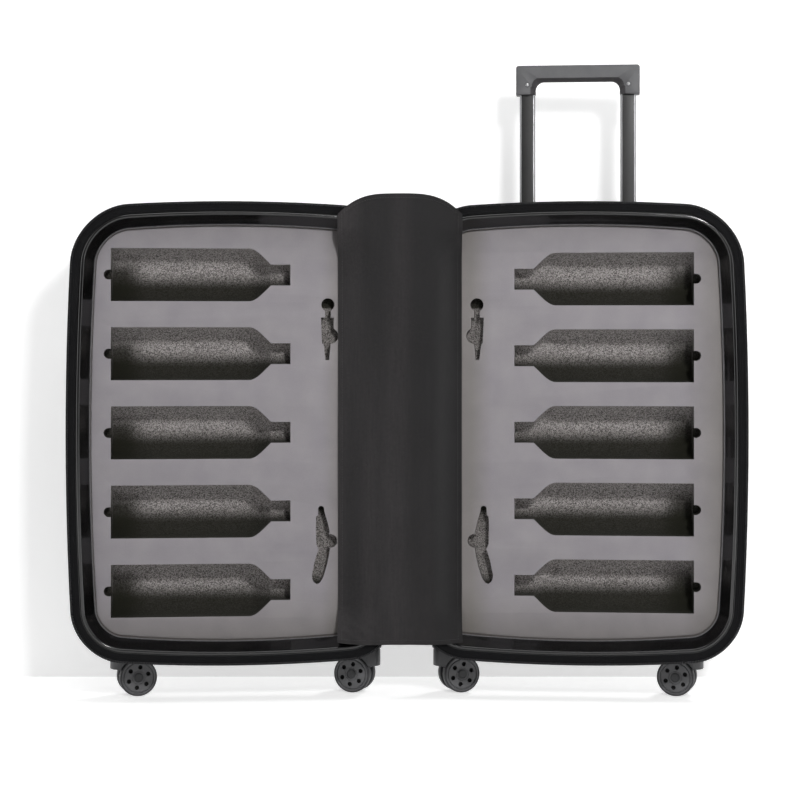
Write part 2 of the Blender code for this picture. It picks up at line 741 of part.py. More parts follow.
def make_trolley(shell, core):
    """The trolley: fixed tubes with their foot and tray, sliding tubes, grip and release button."""
    half = AXES[REAR]
    centre = spot(REAR, HALF_CENTRE, TROLLEY_DEEP, 0)

    def above(up):
        return (centre.x, centre.y, up)

    for key, place in trolley_places(REAR):
        size = (OUTER_TUBE_WIDTH, OUTER_TUBE_DEPTH)
        bottom, top = FOOT_TOP_UP + CLEARANCE, TRAY_BOTTOM_UP - CLEARANCE
        name = f"trolley_outer_tube_{key}"
        standing_tube(name, "steel", half, place, size, OUTER_TUBE_WALL, bottom, top)
        groove_deep = OUTER_TUBE_DEPTH / 2 + GROOVE_GAP
        groove_depth = HALF_DEPTH - TROLLEY_DEEP + groove_deep
        groove_centre = (place[0], place[1] + groove_depth / 2 - groove_deep, MIDDLE_UP)
        groove_size = (OUTER_TUBE_WIDTH + 2 * GROOVE_GAP, groove_depth, HALF_HEIGHT)
        cut(core, box_cutter(f"groove_{key}", groove_size, groove_centre, half))

    foot_size = (FOOT_LENGTH, FOOT_WIDTH, FOOT_HEIGHT)
    foot = box_mesh("trolley_foot", foot_size, above(FOOT_BOTTOM_UP + FOOT_HEIGHT / 2))
    bevel(add_object("trolley_foot", foot, "moulding", half), TUBE_CORNER, 2)

    tray_up = TRAY_TOP_UP - TRAY_HEIGHT / 2
    tray_mesh = box_mesh("trolley_tray", (TRAY_LENGTH, TRAY_WIDTH, TRAY_HEIGHT), above(tray_up))
    tray = add_object("trolley_tray", tray_mesh, "moulding", half)
    bevel(tray, TRAY_PROUD, 1)
    inside = (TRAY_LENGTH - 2 * TRAY_WALL, TRAY_WIDTH - 2 * TRAY_WALL, TRAY_HEIGHT)
    cut(tray, box_cutter("tray_pocket", inside, above(tray_up + TRAY_WALL), half))
    for key, place in trolley_places(REAR):
        hole = (TUBE_WIDTH + 2 * TUBE_SLIDE_GAP, TUBE_DEPTH + 2 * TUBE_SLIDE_GAP, TRAY_HEIGHT)
        cut(tray, box_cutter(f"tray_hole_{key}", hole, (*place, TRAY_BOTTOM_UP), half))
    around = (TRAY_LENGTH + 2 * CLEARANCE, TRAY_WIDTH + 2 * CLEARANCE, 2 * TRAY_HEIGHT)
    cut(shell, box_cutter("tray_opening", around, above(SHELL_TOP_UP), half))

    slide = make_empty("trolley_slide_axis", above(GRIP_BOTTOM_UP), parent=half)
    opening = GRIP_WIDTH / 2 - GRIP_LEG_WIDTH
    ceiling = GRIP_HEIGHT - GRIP_BAR_HEIGHT
    round_by = GRIP_OPENING_RADIUS
    left = arc((round_by - opening, ceiling - round_by), round_by, 180, 90, GRIP_OPENING_STEPS)
    right = arc((opening - round_by, ceiling - round_by), round_by, 90, 0, GRIP_OPENING_STEPS)
    staple = (
        [(-GRIP_WIDTH / 2, GRIP_HEIGHT), (-GRIP_WIDTH / 2, 0), (-opening, 0)]
        + left
        + right
        + [(opening, 0), (GRIP_WIDTH / 2, 0), (GRIP_WIDTH / 2, GRIP_HEIGHT)]
    )
    item = bpy.data.objects.new("grip", flat_curve("grip", [staple], GRIP_DEPTH, GRIP_EDGE))
    PARTS.objects.link(item)
    grip_mesh = baked(item, "trolley_grip")
    grip_mesh.transform(Matrix.Rotation(math.pi / 2, 4, "X"))
    grip = add_object("trolley_grip", grip_mesh, "grip", slide)
    for key, way in (("left", -1), ("right", 1)):
        size = (TUBE_WIDTH + 2 * CLEARANCE, TUBE_DEPTH + 2 * CLEARANCE, 2 * GRIP_SOCKET_DEPTH)
        cut(grip, box_cutter(f"grip_socket_{key}", size, (way * TUBE_PITCH / 2, 0, 0), slide))
        place = (way * TUBE_PITCH / 2, 0)
        bottom = SHELL_TOP_UP - TUBE_ENGAGED - GRIP_BOTTOM_UP
        top = GRIP_SOCKET_DEPTH - CLEARANCE
        size = (TUBE_WIDTH, TUBE_DEPTH)
        standing_tube(f"trolley_tube_{key}", "tube", slide, place, size, TUBE_WALL, bottom, top)
    pocket = (BUTTON_LENGTH + 2 * RUNNING_GAP, BUTTON_WIDTH + 2 * RUNNING_GAP, 2 * BUTTON_POCKET_DEPTH)
    cut(grip, box_cutter("grip_button_pocket", pocket, (0, 0, GRIP_HEIGHT), slide))

    press = make_empty("grip_button_axis", (0, 0, GRIP_HEIGHT + BUTTON_PROUD), parent=slide)
    size = (BUTTON_LENGTH, BUTTON_WIDTH, BUTTON_HEIGHT)
    button = box_mesh("grip_button", size, (0, 0, -BUTTON_HEIGHT / 2))
    bevel(add_object("grip_button", button, "moulding", press), BUTTON_PROUD, 1)


def make_carry_handle(key, shell, location, rotation):
    """A handle that pulls out of its cup. Its frame: x along it, z out of the case from the cup's rim."""
    half = AXES[REAR]
    frame = make_empty(f"{key}_handle_axis", location, parent=half)
    frame.rotation_euler = rotation
    name = f"{key}_handle_cup"
    cup_size = (CUP_LENGTH, CUP_WIDTH, CUP_DEPTH)
    cup = add_object(name, box_mesh(name, cup_size, (0, 0, -CUP_DEPTH / 2)), "moulding", frame)
    bevel(cup, CUP_PROUD, 1)
    pocket = (CUP_LENGTH - 2 * CUP_WALL, CUP_WIDTH - 2 * CUP_WALL, 2 * (CUP_DEPTH - CUP_WALL))
    cut(cup, box_cutter(f"{key}_pocket", pocket, (0, 0, 0), frame))
    leg_centre = STRAP_LENGTH / 2 - STRAP_LEG_INSET - STRAP_LEG_WIDTH / 2
    for way in (-1, 1):
        size = (
            STRAP_LEG_WIDTH + 2 * STRAP_SLOT_GAP,
            STRAP_WIDTH + 2 * STRAP_SLOT_GAP,
            2 * CUP_DEPTH,
        )
        slot_name = f"{key}_slot_{'low' if way < 0 else 'high'}"
        cut(cup, box_cutter(slot_name, size, (way * leg_centre, 0, -CUP_DEPTH), frame))
    around = (CUP_LENGTH + 2 * CLEARANCE, CUP_WIDTH + 2 * CLEARANCE, 2 * CUP_DEPTH)
    cut(shell, box_cutter(f"{key}_opening", around, (0, 0, 0), frame))

    top = -STRAP_SUNK
    under = top - STRAP_THICKNESS
    leg_out, leg_in = leg_centre + STRAP_LEG_WIDTH / 2, leg_centre - STRAP_LEG_WIDTH / 2
    foot_top = under - STRAP_LEG_LENGTH
    foot_low = foot_top - STRAP_FOOT_HEIGHT
    half_outline = [
        (leg_in, under),
        (leg_in, foot_low),
        (leg_out + STRAP_FOOT_REACH, foot_low),
        (leg_out + STRAP_FOOT_REACH, foot_top),
        (leg_out, foot_top),
        (leg_out, under),
        (STRAP_LENGTH / 2, under),
        (STRAP_LENGTH / 2, top),
    ]
    points = half_outline + [(-x, z) for x, z in reversed(half_outline)]
    item = bpy.data.objects.new("strap", flat_curve("strap", [points], STRAP_WIDTH))
    PARTS.objects.link(item)
    name = f"{key}_handle"
    mesh = baked(item, name)
    mesh.transform(Matrix.Rotation(math.pi / 2, 4, "X"))
    bevel(add_object(name, mesh, "handle", frame), STRAP_FOOT_HEIGHT / 2, 1)


def make_handles(shell):
    """The carry handles of the rear half, one on the top and one on the outer side."""
    top = spot(REAR, HALF_CENTRE, TOP_HANDLE_DEEP, SHELL_TOP_UP + CUP_PROUD)
    make_carry_handle("top", shell, top, (0, 0, 0))
    side = spot(REAR, OUTER_ACROSS + CUP_PROUD, SIDE_HANDLE_DEEP, MIDDLE_UP)
    make_carry_handle("side", shell, side, (0, math.pi / 2, 0))


def make_lock(shell):
    """The combination lock, sunk in the outer side of the front half."""
    half = AXES[FRONT]
    face = OUTER_ACROSS + LOCK_PROUD
    size = (LOCK_DEPTH, LOCK_WIDTH, LOCK_LENGTH)
    centre = spot(FRONT, face - LOCK_DEPTH / 2, LOCK_DEEP, MIDDLE_UP)
    body = add_object("lock_body", box_mesh("lock_body", size, centre), "moulding", half)
    bevel(body, LOCK_PROUD, 1)
    around = (2 * LOCK_DEPTH, LOCK_WIDTH + 2 * CLEARANCE, LOCK_LENGTH + 2 * CLEARANCE)
    cut(shell, box_cutter("lock_opening", around, spot(FRONT, face, LOCK_DEEP, MIDDLE_UP), half))

    dial_across = face + DIAL_PROUD - DIAL_RADIUS
    for index in range(DIAL_COUNT):
        up = MIDDLE_UP + DIAL_COLUMN_UP + (index - (DIAL_COUNT - 1) / 2) * DIAL_PITCH
        place = spot(FRONT, dial_across, LOCK_DEEP, up)
        slot = 2 * (DIAL_RADIUS + RUNNING_GAP)
        size = (slot, slot, DIAL_THICKNESS + 2 * RUNNING_GAP)
        cut(body, box_cutter(f"dial_slot_{index + 1}", size, place, half))
        axis = make_empty(f"lock_dial_axis_{index + 1}", place, parent=half)
        name = f"lock_dial_{index + 1}"
        mesh = rod_mesh(name, DIAL_RADIUS, DIAL_THICKNESS, DIAL_STEPS)
        smooth(mesh)
        add_object(name, mesh, "dial", axis)

    button_up = MIDDLE_UP - LOCK_BUTTON_DOWN
    pocket_side = LOCK_BUTTON_SIZE + 2 * RUNNING_GAP
    pocket_size = (2 * LOCK_BUTTON_POCKET, pocket_side, pocket_side)
    cut(body, box_cutter("lock_button_pocket", pocket_size, spot(FRONT, face, LOCK_DEEP, button_up), half))
    press = make_empty(
        "lock_button_axis", spot(FRONT, face + LOCK_BUTTON_PROUD, LOCK_DEEP, button_up), parent=half
    )
    size = (LOCK_BUTTON_HEIGHT, LOCK_BUTTON_SIZE, LOCK_BUTTON_SIZE)
    mesh = box_mesh("lock_button", size, (LOCK_BUTTON_HEIGHT / 2, 0, 0))
    bevel(add_object("lock_button", mesh, "moulding", press), LOCK_PROUD, 1)

    slot_across = face - PULLER_SLOT_BACK
    slot_deep = LOCK_DEEP - LOCK_WIDTH / 2
    for way in (-1, 1):
        up = MIDDLE_UP + way * PULLER_SLOT_LENGTH
        size = (PULLER_SLOT_WIDTH, 2 * PULLER_SLOT_DEPTH, PULLER_SLOT_LENGTH)
        name = f"puller_slot_{'low' if way < 0 else 'high'}"
        cut(body, box_cutter(name, size, spot(FRONT, slot_across, slot_deep, up), half))


def make_sliders():
    """Two zip sliders at the hinge end of the rear zip, with their pullers lying back on the shell."""
    tape = outline(-TAPE_OUTSET)
    corner = 2 * (CORNER_STEPS + SIDE_STEPS)
    for index, facet in enumerate(SLIDER_FACETS):
        outer, inner = Vector(tape[corner + facet]), Vector(tape[corner + facet + 1])
        middle = (outer + inner) / 2
        slope = math.atan2(outer.y - inner.y, outer.x - inner.x)
        place = spot(REAR, middle.x, 0, middle.y)
        seat = make_empty(f"zip_slider_seat_{index + 1}", place, parent=AXES[REAR])
        seat.rotation_euler = (0, -slope, 0)
        name = f"zip_slider_{index + 1}"
        size = (SLIDER_LENGTH, SLIDER_WIDTH, SLIDER_HEIGHT)
        mesh = box_mesh(name, size, (0, 0, CLEARANCE + SLIDER_HEIGHT / 2))
        bevel(add_object(name, mesh, "zip_metal", seat), SLIDER_HEIGHT / 4, 1)
        eye = (0, SLIDER_WIDTH / 2 + CLEARANCE + PULLER_EYE, CLEARANCE + PULLER_THICKNESS / 2)
        pivot = make_empty(f"zip_puller_axis_{index + 1}", eye, parent=seat)
        name = f"zip_puller_{index + 1}"
        size = (PULLER_WIDTH, PULLER_LENGTH, PULLER_THICKNESS)
        mesh = box_mesh(name, size, (0, PULLER_LENGTH / 2 - PULLER_EYE, 0))
        bevel(add_object(name, mesh, "zip_metal", pivot), PULLER_THICKNESS / 4, 1)


def make_pads():
    """The pad under the front half and the wider grip under the rear half."""
    for name, side, length, offset in (
        ("front_bottom_pad", FRONT, FRONT_PAD_LENGTH, 0),
        ("rear_bottom_grip", REAR, REAR_PAD_LENGTH, REAR_PAD_OFFSET),
    ):
        size = (length, PAD_WIDTH, PAD_DROP)
        up = SHELL_BOTTOM_HEIGHT - CLEARANCE - PAD_DROP / 2
        mesh = box_mesh(name, size, spot(side, HALF_CENTRE + offset, PAD_DEEP, up))
        bevel(add_object(name, mesh, "moulding", AXES[side]), PAD_DROP / 2, 2)


def turned_mesh(name, profile, steps):
    """A body turned about Z, from points (radius, height) that go down its outer side."""
    builder = bmesh.new()
    verts = [builder.verts.new((radius, 0, height)) for radius, height in profile]
    ends = [] if profile[0][0] == 0 else [(verts[-1], verts[0])]
    for one, other in [*zip(verts, verts[1:]), *ends]:
        builder.edges.new((one, other))
    mesh = bpy.data.meshes.new(name)
    builder.to_mesh(mesh)
    builder.free()
    item = bpy.data.objects.new(name, mesh)
    PARTS.objects.link(item)
    turn = item.modifiers.new("turn", "SCREW")
    turn.steps = steps
    turn.render_steps = steps
    turn.use_merge_vertices = True
    turn.merge_threshold = WELD
    return baked(item, name)


def wheel_mesh():
    """One wheel: a disc with a tread and six lightening holes, turned about its axle."""
    half_width = WHEEL_WIDTH / 2
    bore = AXLE_RADIUS + CLEARANCE
    shoulder = WHEEL_RADIUS - WHEEL_TREAD_EDGE
    profile = (
        (bore, half_width),
        (shoulder, half_width),
        (WHEEL_RADIUS, half_width - WHEEL_TREAD_EDGE),
        (WHEEL_RADIUS, WHEEL_TREAD_EDGE - half_width),
        (shoulder, -half_width),
        (bore, -half_width),
    )
    disc = bpy.data.objects.new("wheel", turned_mesh("wheel", profile, WHEEL_STEPS))
    PARTS.objects.link(disc)
    for index in range(WHEEL_HOLE_COUNT):
        angle = 2 * math.pi * index / WHEEL_HOLE_COUNT
        centre = (WHEEL_HOLE_RING * math.cos(angle), WHEEL_HOLE_RING * math.sin(angle), 0)
        name = f"wheel_hole_{index + 1}"
        rod = rod_mesh(name, WHEEL_HOLE_RADIUS, 2 * WHEEL_WIDTH, WHEEL_HOLE_STEPS, centre)
        cut(disc, add_object(name, rod, cutter=True))
    mesh = baked(disc, "caster_wheel")
    smooth(mesh)
    return mesh


def axle_mesh():
    """The axle pin with a cap at each end, turned about its own line."""
    half_length = AXLE_LENGTH / 2 + CLEARANCE
    end = half_length + AXLE_CAP_HEIGHT
    profile = (
        (0, end),
        (AXLE_CAP_RADIUS, end),
        (AXLE_CAP_RADIUS, half_length),
        (AXLE_RADIUS, half_length),
        (AXLE_RADIUS, -half_length),
        (AXLE_CAP_RADIUS, -half_length),
        (AXLE_CAP_RADIUS, -end),
        (0, -end),
    )
    mesh = turned_mesh("caster_axle", profile, AXLE_STEPS)
    smooth(mesh)
    return mesh


def fork_mesh():
    """The swivelling fork: a hooded head on its stem, and a web that holds the axle between the wheels."""
    skirt = FORK_TOP_UP - FORK_SKIRT_UP
    head = rod_mesh("fork", FORK_RADIUS, skirt, ROUND_STEPS, (0, 0, FORK_TOP_UP - skirt / 2))
    fork = bpy.data.objects.new("fork", head)
    PARTS.objects.link(fork)
    crown = FORK_TOP_UP - CLEARANCE
    boss = arc((TRAIL, WHEEL_RADIUS), FORK_BOSS_RADIUS, 30, -150, WEB_STEPS)
    web_reach = FORK_RADIUS - CLEARANCE
    web_points = [
        (-web_reach / 2, crown),
        (web_reach, crown),
        (web_reach, FORK_SKIRT_UP),
        *boss,
        (-web_reach / 2, FORK_SKIRT_UP),
    ]
    item = bpy.data.objects.new("fork_web", flat_curve("fork_web", [web_points], FORK_WEB))
    PARTS.objects.link(item)
    web = baked(item, "fork_web")
    web.transform(Matrix.Rotation(math.pi / 2, 4, "X"))
    sweep_radius = WHEEL_RADIUS + WHEEL_SWEEP_GAP
    sweep_length = 2 * FORK_RADIUS
    for way in (-1, 1):
        offset = way * (FORK_WEB / 2 + sweep_length / 2)
        name = f"fork_sweep_{'rear' if way > 0 else 'front'}"
        centre = (TRAIL, offset, WHEEL_RADIUS)
        sweep = rod_mesh(name, sweep_radius, sweep_length, 2 * ROUND_STEPS, centre, "Y")
        cut(fork, add_object(name, sweep, cutter=True))
    stem_length = 2 * STEM_HEIGHT
    stem = rod_mesh("fork_stem", STEM_RADIUS, stem_length, AXLE_STEPS, (0, 0, FORK_TOP_UP))
    cut(fork, add_object("fork_web", web, cutter=True), operation="UNION")
    cut(fork, add_object("fork_stem", stem, cutter=True), operation="UNION")
    bore_radius = AXLE_RADIUS + CLEARANCE
    centre = (TRAIL, 0, WHEEL_RADIUS)
    bore = rod_mesh("fork_bore", bore_radius, 2 * FORK_WEB, AXLE_STEPS, centre, "Y")
    cut(fork, add_object("fork_bore", bore, cutter=True))
    mesh = baked(fork, "caster_fork")
    smooth(mesh)
    return mesh


def mount_mesh():
    """The fixed mount that a fork's stem turns in."""
    bottom = FORK_TOP_UP + RUNNING_GAP
    profile = (
        (0, MOUNT_TOP_UP),
        (MOUNT_RADIUS, MOUNT_TOP_UP),
        (MOUNT_RADIUS, bottom),
        (STEM_RADIUS + CLEARANCE, bottom),
        (STEM_RADIUS + CLEARANCE, bottom + MOUNT_BORE_DEPTH),
        (0, bottom + MOUNT_BORE_DEPTH),
    )
    mesh = turned_mesh("caster_mount", profile, ROUND_STEPS)
    smooth(mesh)
    return mesh


def make_casters(shells):
    """Four casters, two under each half, every one with its fork, axle and pair of wheels."""
    meshes = {"mount": mount_mesh(), "fork": fork_mesh(), "axle": axle_mesh(), "wheel": wheel_mesh()}
    finishes = {"mount": "moulding", "fork": "moulding", "axle": "moulding", "wheel": "wheel"}
    for key, mesh in meshes.items():
        mesh.materials.append(FINISHES[finishes[key]])
    for half, side in (("front", FRONT), ("rear", REAR)):
        for place, across, yaw in zip(("hinge", "outer"), CASTER_ACROSS, CASTER_YAWS):
            inward = side if place == "hinge" else -side
            turn = yaw if inward > 0 else math.pi - yaw
            key = f"{half}_{place}"
            spot_on_floor = spot(side, across, CASTER_DEEP, 0)
            swivel = make_empty(f"caster_swivel_axis_{key}", spot_on_floor, turn, AXES[side])
            for piece in ("mount", "fork"):
                item = bpy.data.objects.new(f"caster_{piece}_{key}", meshes[piece])
                item.parent = swivel
                PARTS.objects.link(item)
            spin = make_empty(f"caster_spin_axis_{key}", (TRAIL, 0, WHEEL_RADIUS), parent=swivel)
            spin.rotation_euler = Euler((math.pi / 2, 0, 0))
            for name, mesh, offset in (
                (f"caster_axle_{key}", "axle", 0),
                (f"caster_wheel_a_{key}", "wheel", WHEEL_OFFSET),
                (f"caster_wheel_b_{key}", "wheel", -WHEEL_OFFSET),
            ):
                item = bpy.data.objects.new(name, meshes[mesh])
                item.location = (0, 0, offset)
                item.parent = spin
                PARTS.objects.link(item)
            radius = MOUNT_RADIUS + CLEARANCE
            centre = (spot_on_floor.x, spot_on_floor.y, SHELL_BOTTOM_HEIGHT)
            well = rod_mesh(f"caster_well_{key}", radius, HALF_DEPTH, 2 * ROUND_STEPS, centre)
            cut(shells[side], add_object(f"caster_well_{key}", well, parent=AXES[side], cutter=True))


def eased(share):
    """0 to 1 with flat ends."""
    share = min(max(share, 0.0), 1.0)
    return share * share * (3 - 2 * share)


def cover_point(x_share, up_share):
    """A point on the back of the spine cover, from its shares across and up, in the hinge's frame."""
    x = -COVER_LEFT + (COVER_LEFT + COVER_RIGHT) * x_share
    swing = 2 * x_share - 1
    top = COVER_TOP_UP - COVER_TOP_DROP * abs(swing) ** 3.2
    bottom = COVER_BOTTOM_UP + COVER_BOTTOM_RISE * abs(swing) ** 4
    up = bottom + (top - bottom) * up_share
    reach = COVER_LEFT if x < 0 else COVER_RIGHT
    falling = eased((abs(x) - COVER_FLAT_HALF_WIDTH) / (reach - COVER_FLAT_HALF_WIDTH))
    front = COVER_THICKNESS - COVER_FRONT
    rest = FACE_DEEP - CLEARANCE - front
    lift_top = eased((up - (SHELL_TOP_UP - INSERT_INSET - COVER_LIFT_LENGTH)) / COVER_LIFT_LENGTH)
    low_end = SHELL_BOTTOM_HEIGHT + INSERT_INSET + COVER_LIFT_LENGTH
    lift_low = eased((low_end - up) / COVER_LIFT_LENGTH)
    deep = front + rest * falling * (1 - max(lift_top, lift_low))
    valley = math.exp(-(((x - COVER_VALLEY_ACROSS) / COVER_VALLEY_WIDTH) ** 2))
    deep -= COVER_VALLEY * (1 - valley) * (1 - falling)
    yaw = -OPEN_YAW * math.copysign(1, x)
    turned = Matrix.Rotation(yaw, 2) @ Vector((x, HINGE_LEAD + deep))
    return Vector((x, turned.y, up))


def make_hinge_fabric(hinge):
    """The fabric at the hinge: the tape that joins the shells, and the wide cover in front of it."""
    builder = bmesh.new()
    grid = []
    for column in range(COVER_COLUMNS + 1):
        row = []
        for step in range(COVER_ROWS + 1):
            up_share = (1 - math.cos(math.pi * step / COVER_ROWS)) / 2
            row.append(builder.verts.new(cover_point(column / COVER_COLUMNS, up_share)))
        grid.append(row)
    for one, other in zip(grid, grid[1:]):
        for index in range(COVER_ROWS):
            builder.faces.new((one[index], other[index], other[index + 1], one[index + 1]))
    mesh = mesh_of("spine_cover", builder)
    if sum(face.normal.y for face in mesh.polygons) > 0:
        mesh.flip_normals()
    smooth(mesh)
    cover = add_object("spine_cover", mesh, "spine", hinge)
    wall = cover.modifiers.new("cloth", "SOLIDIFY")
    wall.thickness = COVER_THICKNESS
    wall.offset = 1

    back = COIL_LEAD - CLEARANCE
    half_width = HINGE_TAPE_HALF_WIDTH
    drop = half_width * math.tan(OPEN_YAW)
    section = [
        (-half_width, back - drop - HINGE_TAPE_THICKNESS),
        (0, back - HINGE_TAPE_THICKNESS),
        (half_width, back - drop - HINGE_TAPE_THICKNESS),
        (half_width, back - drop),
        (0, back),
        (-half_width, back - drop),
    ]
    length = HALF_HEIGHT - 2 * (HINGE_TAPE_END + INSERT_INSET)
    item = bpy.data.objects.new("tape", flat_curve("tape", [section], length))
    PARTS.objects.link(item)
    tape = baked(item, "hinge_tape")
    tape.transform(Matrix.Translation((0, 0, MIDDLE_UP)))
    add_object("hinge_tape", tape, "spine", hinge)


WELD = 0.00001

for old in list(bpy.data.objects):
    bpy.data.objects.remove(old)
PARTS = make_collection("wine_suitcase")
CUTTERS = make_collection("cutters")
FINISHES = {
    "shell": make_material("gloss_black_shell", (0.012, 0.012, 0.013), 0.16),
    "rim": make_material("gloss_black_rim", (0.010, 0.010, 0.011), 0.14),
    "zip_tape": make_material("black_zip_tape", (0.020, 0.020, 0.021), 0.75),
    "zip_metal": make_material("dark_zip_metal", (0.06, 0.06, 0.06), 0.35, 1.0),
    "lining": make_material("dark_brown_lining", (0.036, 0.031, 0.029), 0.85),
    "foam_core": make_material("charcoal_foam", (0.045, 0.043, 0.036), 0.95),
    "foam_face": make_material("grey_foam_face", (0.262, 0.246, 0.242), 0.90),
    "spine": make_material("black_polyester", (0.022, 0.021, 0.021), 0.80),
    "steel": make_material("plain_steel", (0.55, 0.55, 0.56), 0.35, 1.0),
    "tube": make_material("black_tube", (0.024, 0.023, 0.023), 0.35),
    "grip": make_material("grey_grip", (0.145, 0.145, 0.150), 0.55),
    "handle": make_material("black_rubber_handle", (0.018, 0.018, 0.018), 0.6),
    "moulding": make_material("dark_grey_moulding", (0.050, 0.050, 0.052), 0.45),
    "wheel": make_material("grey_wheel", (0.085, 0.085, 0.088), 0.40),
    "dial": make_material("black_dial", (0.03, 0.03, 0.03), 0.4),
}
HINGE = make_empty("hinge_axis", (0, HINGE_Y, 0))
AXES = {
    REAR: make_empty("rear_half_axis", turn=-OPEN_YAW, parent=HINGE),
    FRONT: make_empty("front_half_axis", turn=OPEN_YAW, parent=HINGE),
}


def main():
    """Build every sub-part of the suitcase."""
    shells, cores = {}, {}
    for half, side in (("front", FRONT), ("rear", REAR)):
        shells[side] = make_shell(half, side)
        make_mouth(half, side)
        cores[side] = make_insert(half, side)
    make_trolley(shells[REAR], cores[REAR])
    make_handles(shells[REAR])
    make_lock(shells[FRONT])
    make_sliders()
    make_pads()
    make_casters(shells)
    make_hinge_fabric(HINGE)


main()
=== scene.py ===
"""The dressed wine suitcase: its shells, mouths, inserts, fabric, trolley, handles, lock and casters.

Every length is in metres, in the frame of the solids: X to the viewer's right, Y away from the
viewer, Z up from the floor. A half is modelled in its own frame, in which X is the way across from
the hinge, Y the depth behind the plane of the rims and Z the height; `Half.matrix` puts it in place.
"""

import logging
import math
from collections.abc import Callable, Iterable, Iterator, Sequence
from contextlib import contextmanager
from dataclasses import dataclass
from enum import Enum

import bmesh
import bpy
import numpy as np
from mathutils import Euler, Matrix, Vector


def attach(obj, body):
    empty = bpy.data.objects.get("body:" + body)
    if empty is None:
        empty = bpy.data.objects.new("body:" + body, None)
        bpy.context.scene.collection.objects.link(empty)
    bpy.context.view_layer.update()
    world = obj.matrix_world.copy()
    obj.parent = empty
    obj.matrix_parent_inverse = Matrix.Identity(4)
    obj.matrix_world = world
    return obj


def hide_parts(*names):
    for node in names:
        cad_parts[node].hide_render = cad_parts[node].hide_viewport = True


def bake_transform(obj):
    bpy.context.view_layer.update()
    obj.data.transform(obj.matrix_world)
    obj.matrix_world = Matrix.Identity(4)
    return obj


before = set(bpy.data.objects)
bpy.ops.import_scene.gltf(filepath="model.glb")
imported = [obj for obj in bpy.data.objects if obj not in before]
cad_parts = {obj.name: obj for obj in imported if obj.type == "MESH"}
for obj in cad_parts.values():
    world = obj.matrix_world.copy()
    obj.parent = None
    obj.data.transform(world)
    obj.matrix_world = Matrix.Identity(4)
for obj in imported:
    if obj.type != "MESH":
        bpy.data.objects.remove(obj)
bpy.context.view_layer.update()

log = logging.getLogger("wine_suitcase")

Point = tuple[float, float, float]
Flat = tuple[float, float]
MM = 0.001
PAINTED_HOLLOW_SHADE = "hollow_shade"
DUST_PATCH = 0.12

# Where things sit in a half: (across, yaw) of its casters, and how deep the two handles are
CASTERS = {"hinge": (0.0583, math.radians(22)), "outer": (0.4630, math.radians(12))}
TOP_HANDLE_DEEP = 0.056
SIDE_HANDLE_DEEP = 0.078


class Side(Enum):
    """Which half a piece belongs to; the value is its direction along X."""

    FRONT = -1
    REAR = 1


class Pick(Enum):
    """What a selection is made of."""

    VERTS = "VERT"
    EDGES = "EDGE"
    FACES = "FACE"


class Grain(Enum):
    """The small surface pattern of a finish."""

    MOULDED = "moulded_grain"
    GLOSS = "gloss_orange_peel"
    WOVEN = "plain_weave"
    FOAM = "cut_foam_cells"
    BRUSHED = "brushed_lines"


# Finishes


def linear(code: str) -> tuple[float, float, float, float]:
    """A display colour as scene-linear values.

    Args:
        code: The colour as six hexadecimal digits.

    Returns:
        Red, green, blue and an alpha of one.
    """
    channels = [int(code[start : start + 2], 16) / 255 for start in (0, 2, 4)]
    curved = [c / 12.92 if c <= 0.04045 else ((c + 0.055) / 1.055) ** 2.4 for c in channels]
    return (*curved, 1.0)


class Graph:
    """Adds nodes to one node tree, each with its values and links in one call."""

    def __init__(self, tree: bpy.types.NodeTree) -> None:
        """Start from an empty tree."""
        self.tree = tree
        tree.nodes.clear()

    def add(self, kind: str, inputs: dict | None = None, **settings: object) -> bpy.types.Node:
        """Add a node.

        Args:
            kind: The node's type, without the leading ShaderNode.
            inputs: Socket names or numbers, each with a value or the output socket that feeds it.
            settings: Properties of the node itself.

        Returns:
            The new node.
        """
        name = kind if kind.startswith("Node") else f"ShaderNode{kind}"
        node = self.tree.nodes.new(name)
        for key, value in settings.items():
            setattr(node, key, value)
        for key, value in (inputs or {}).items():
            if isinstance(value, bpy.types.NodeSocket):
                self.tree.links.new(value, node.inputs[key])
            else:
                node.inputs[key].default_value = value
        return node

    def sum(self, how: str, first: object, second: object = 0.0, third: object = 0.0) -> bpy.types.NodeSocket:
        """One Math node's result, from up to three values or sockets."""
        return self.add("Math", {0: first, 1: second, 2: third}, operation=how).outputs[0]

    def ramp(self, value: object, low: float, high: float, to: Flat = (0.0, 1.0)) -> bpy.types.NodeSocket:
        """A value stretched from low..high to the range `to`, held at its ends."""
        inputs = {"Value": value, "From Min": low, "From Max": high, "To Min": to[0], "To Max": to[1]}
        return self.add("MapRange", inputs, clamp=True).outputs["Result"]

    def blend(self, factor: object, first: object, second: object) -> bpy.types.NodeSocket:
        """Two colours mixed by a factor."""
        return self.add("Mix", {0: factor, 6: first, 7: second}, data_type="RGBA").outputs[2]

    def drawn(self, vector: object, stretch: Point, turn: Point = (0, 0, 0)) -> bpy.types.NodeSocket:
        """A vector turned and stretched, for patterns that are drawn out."""
        return self.add("Mapping", {"Vector": vector, "Rotation": turn, "Scale": stretch}).outputs[0]


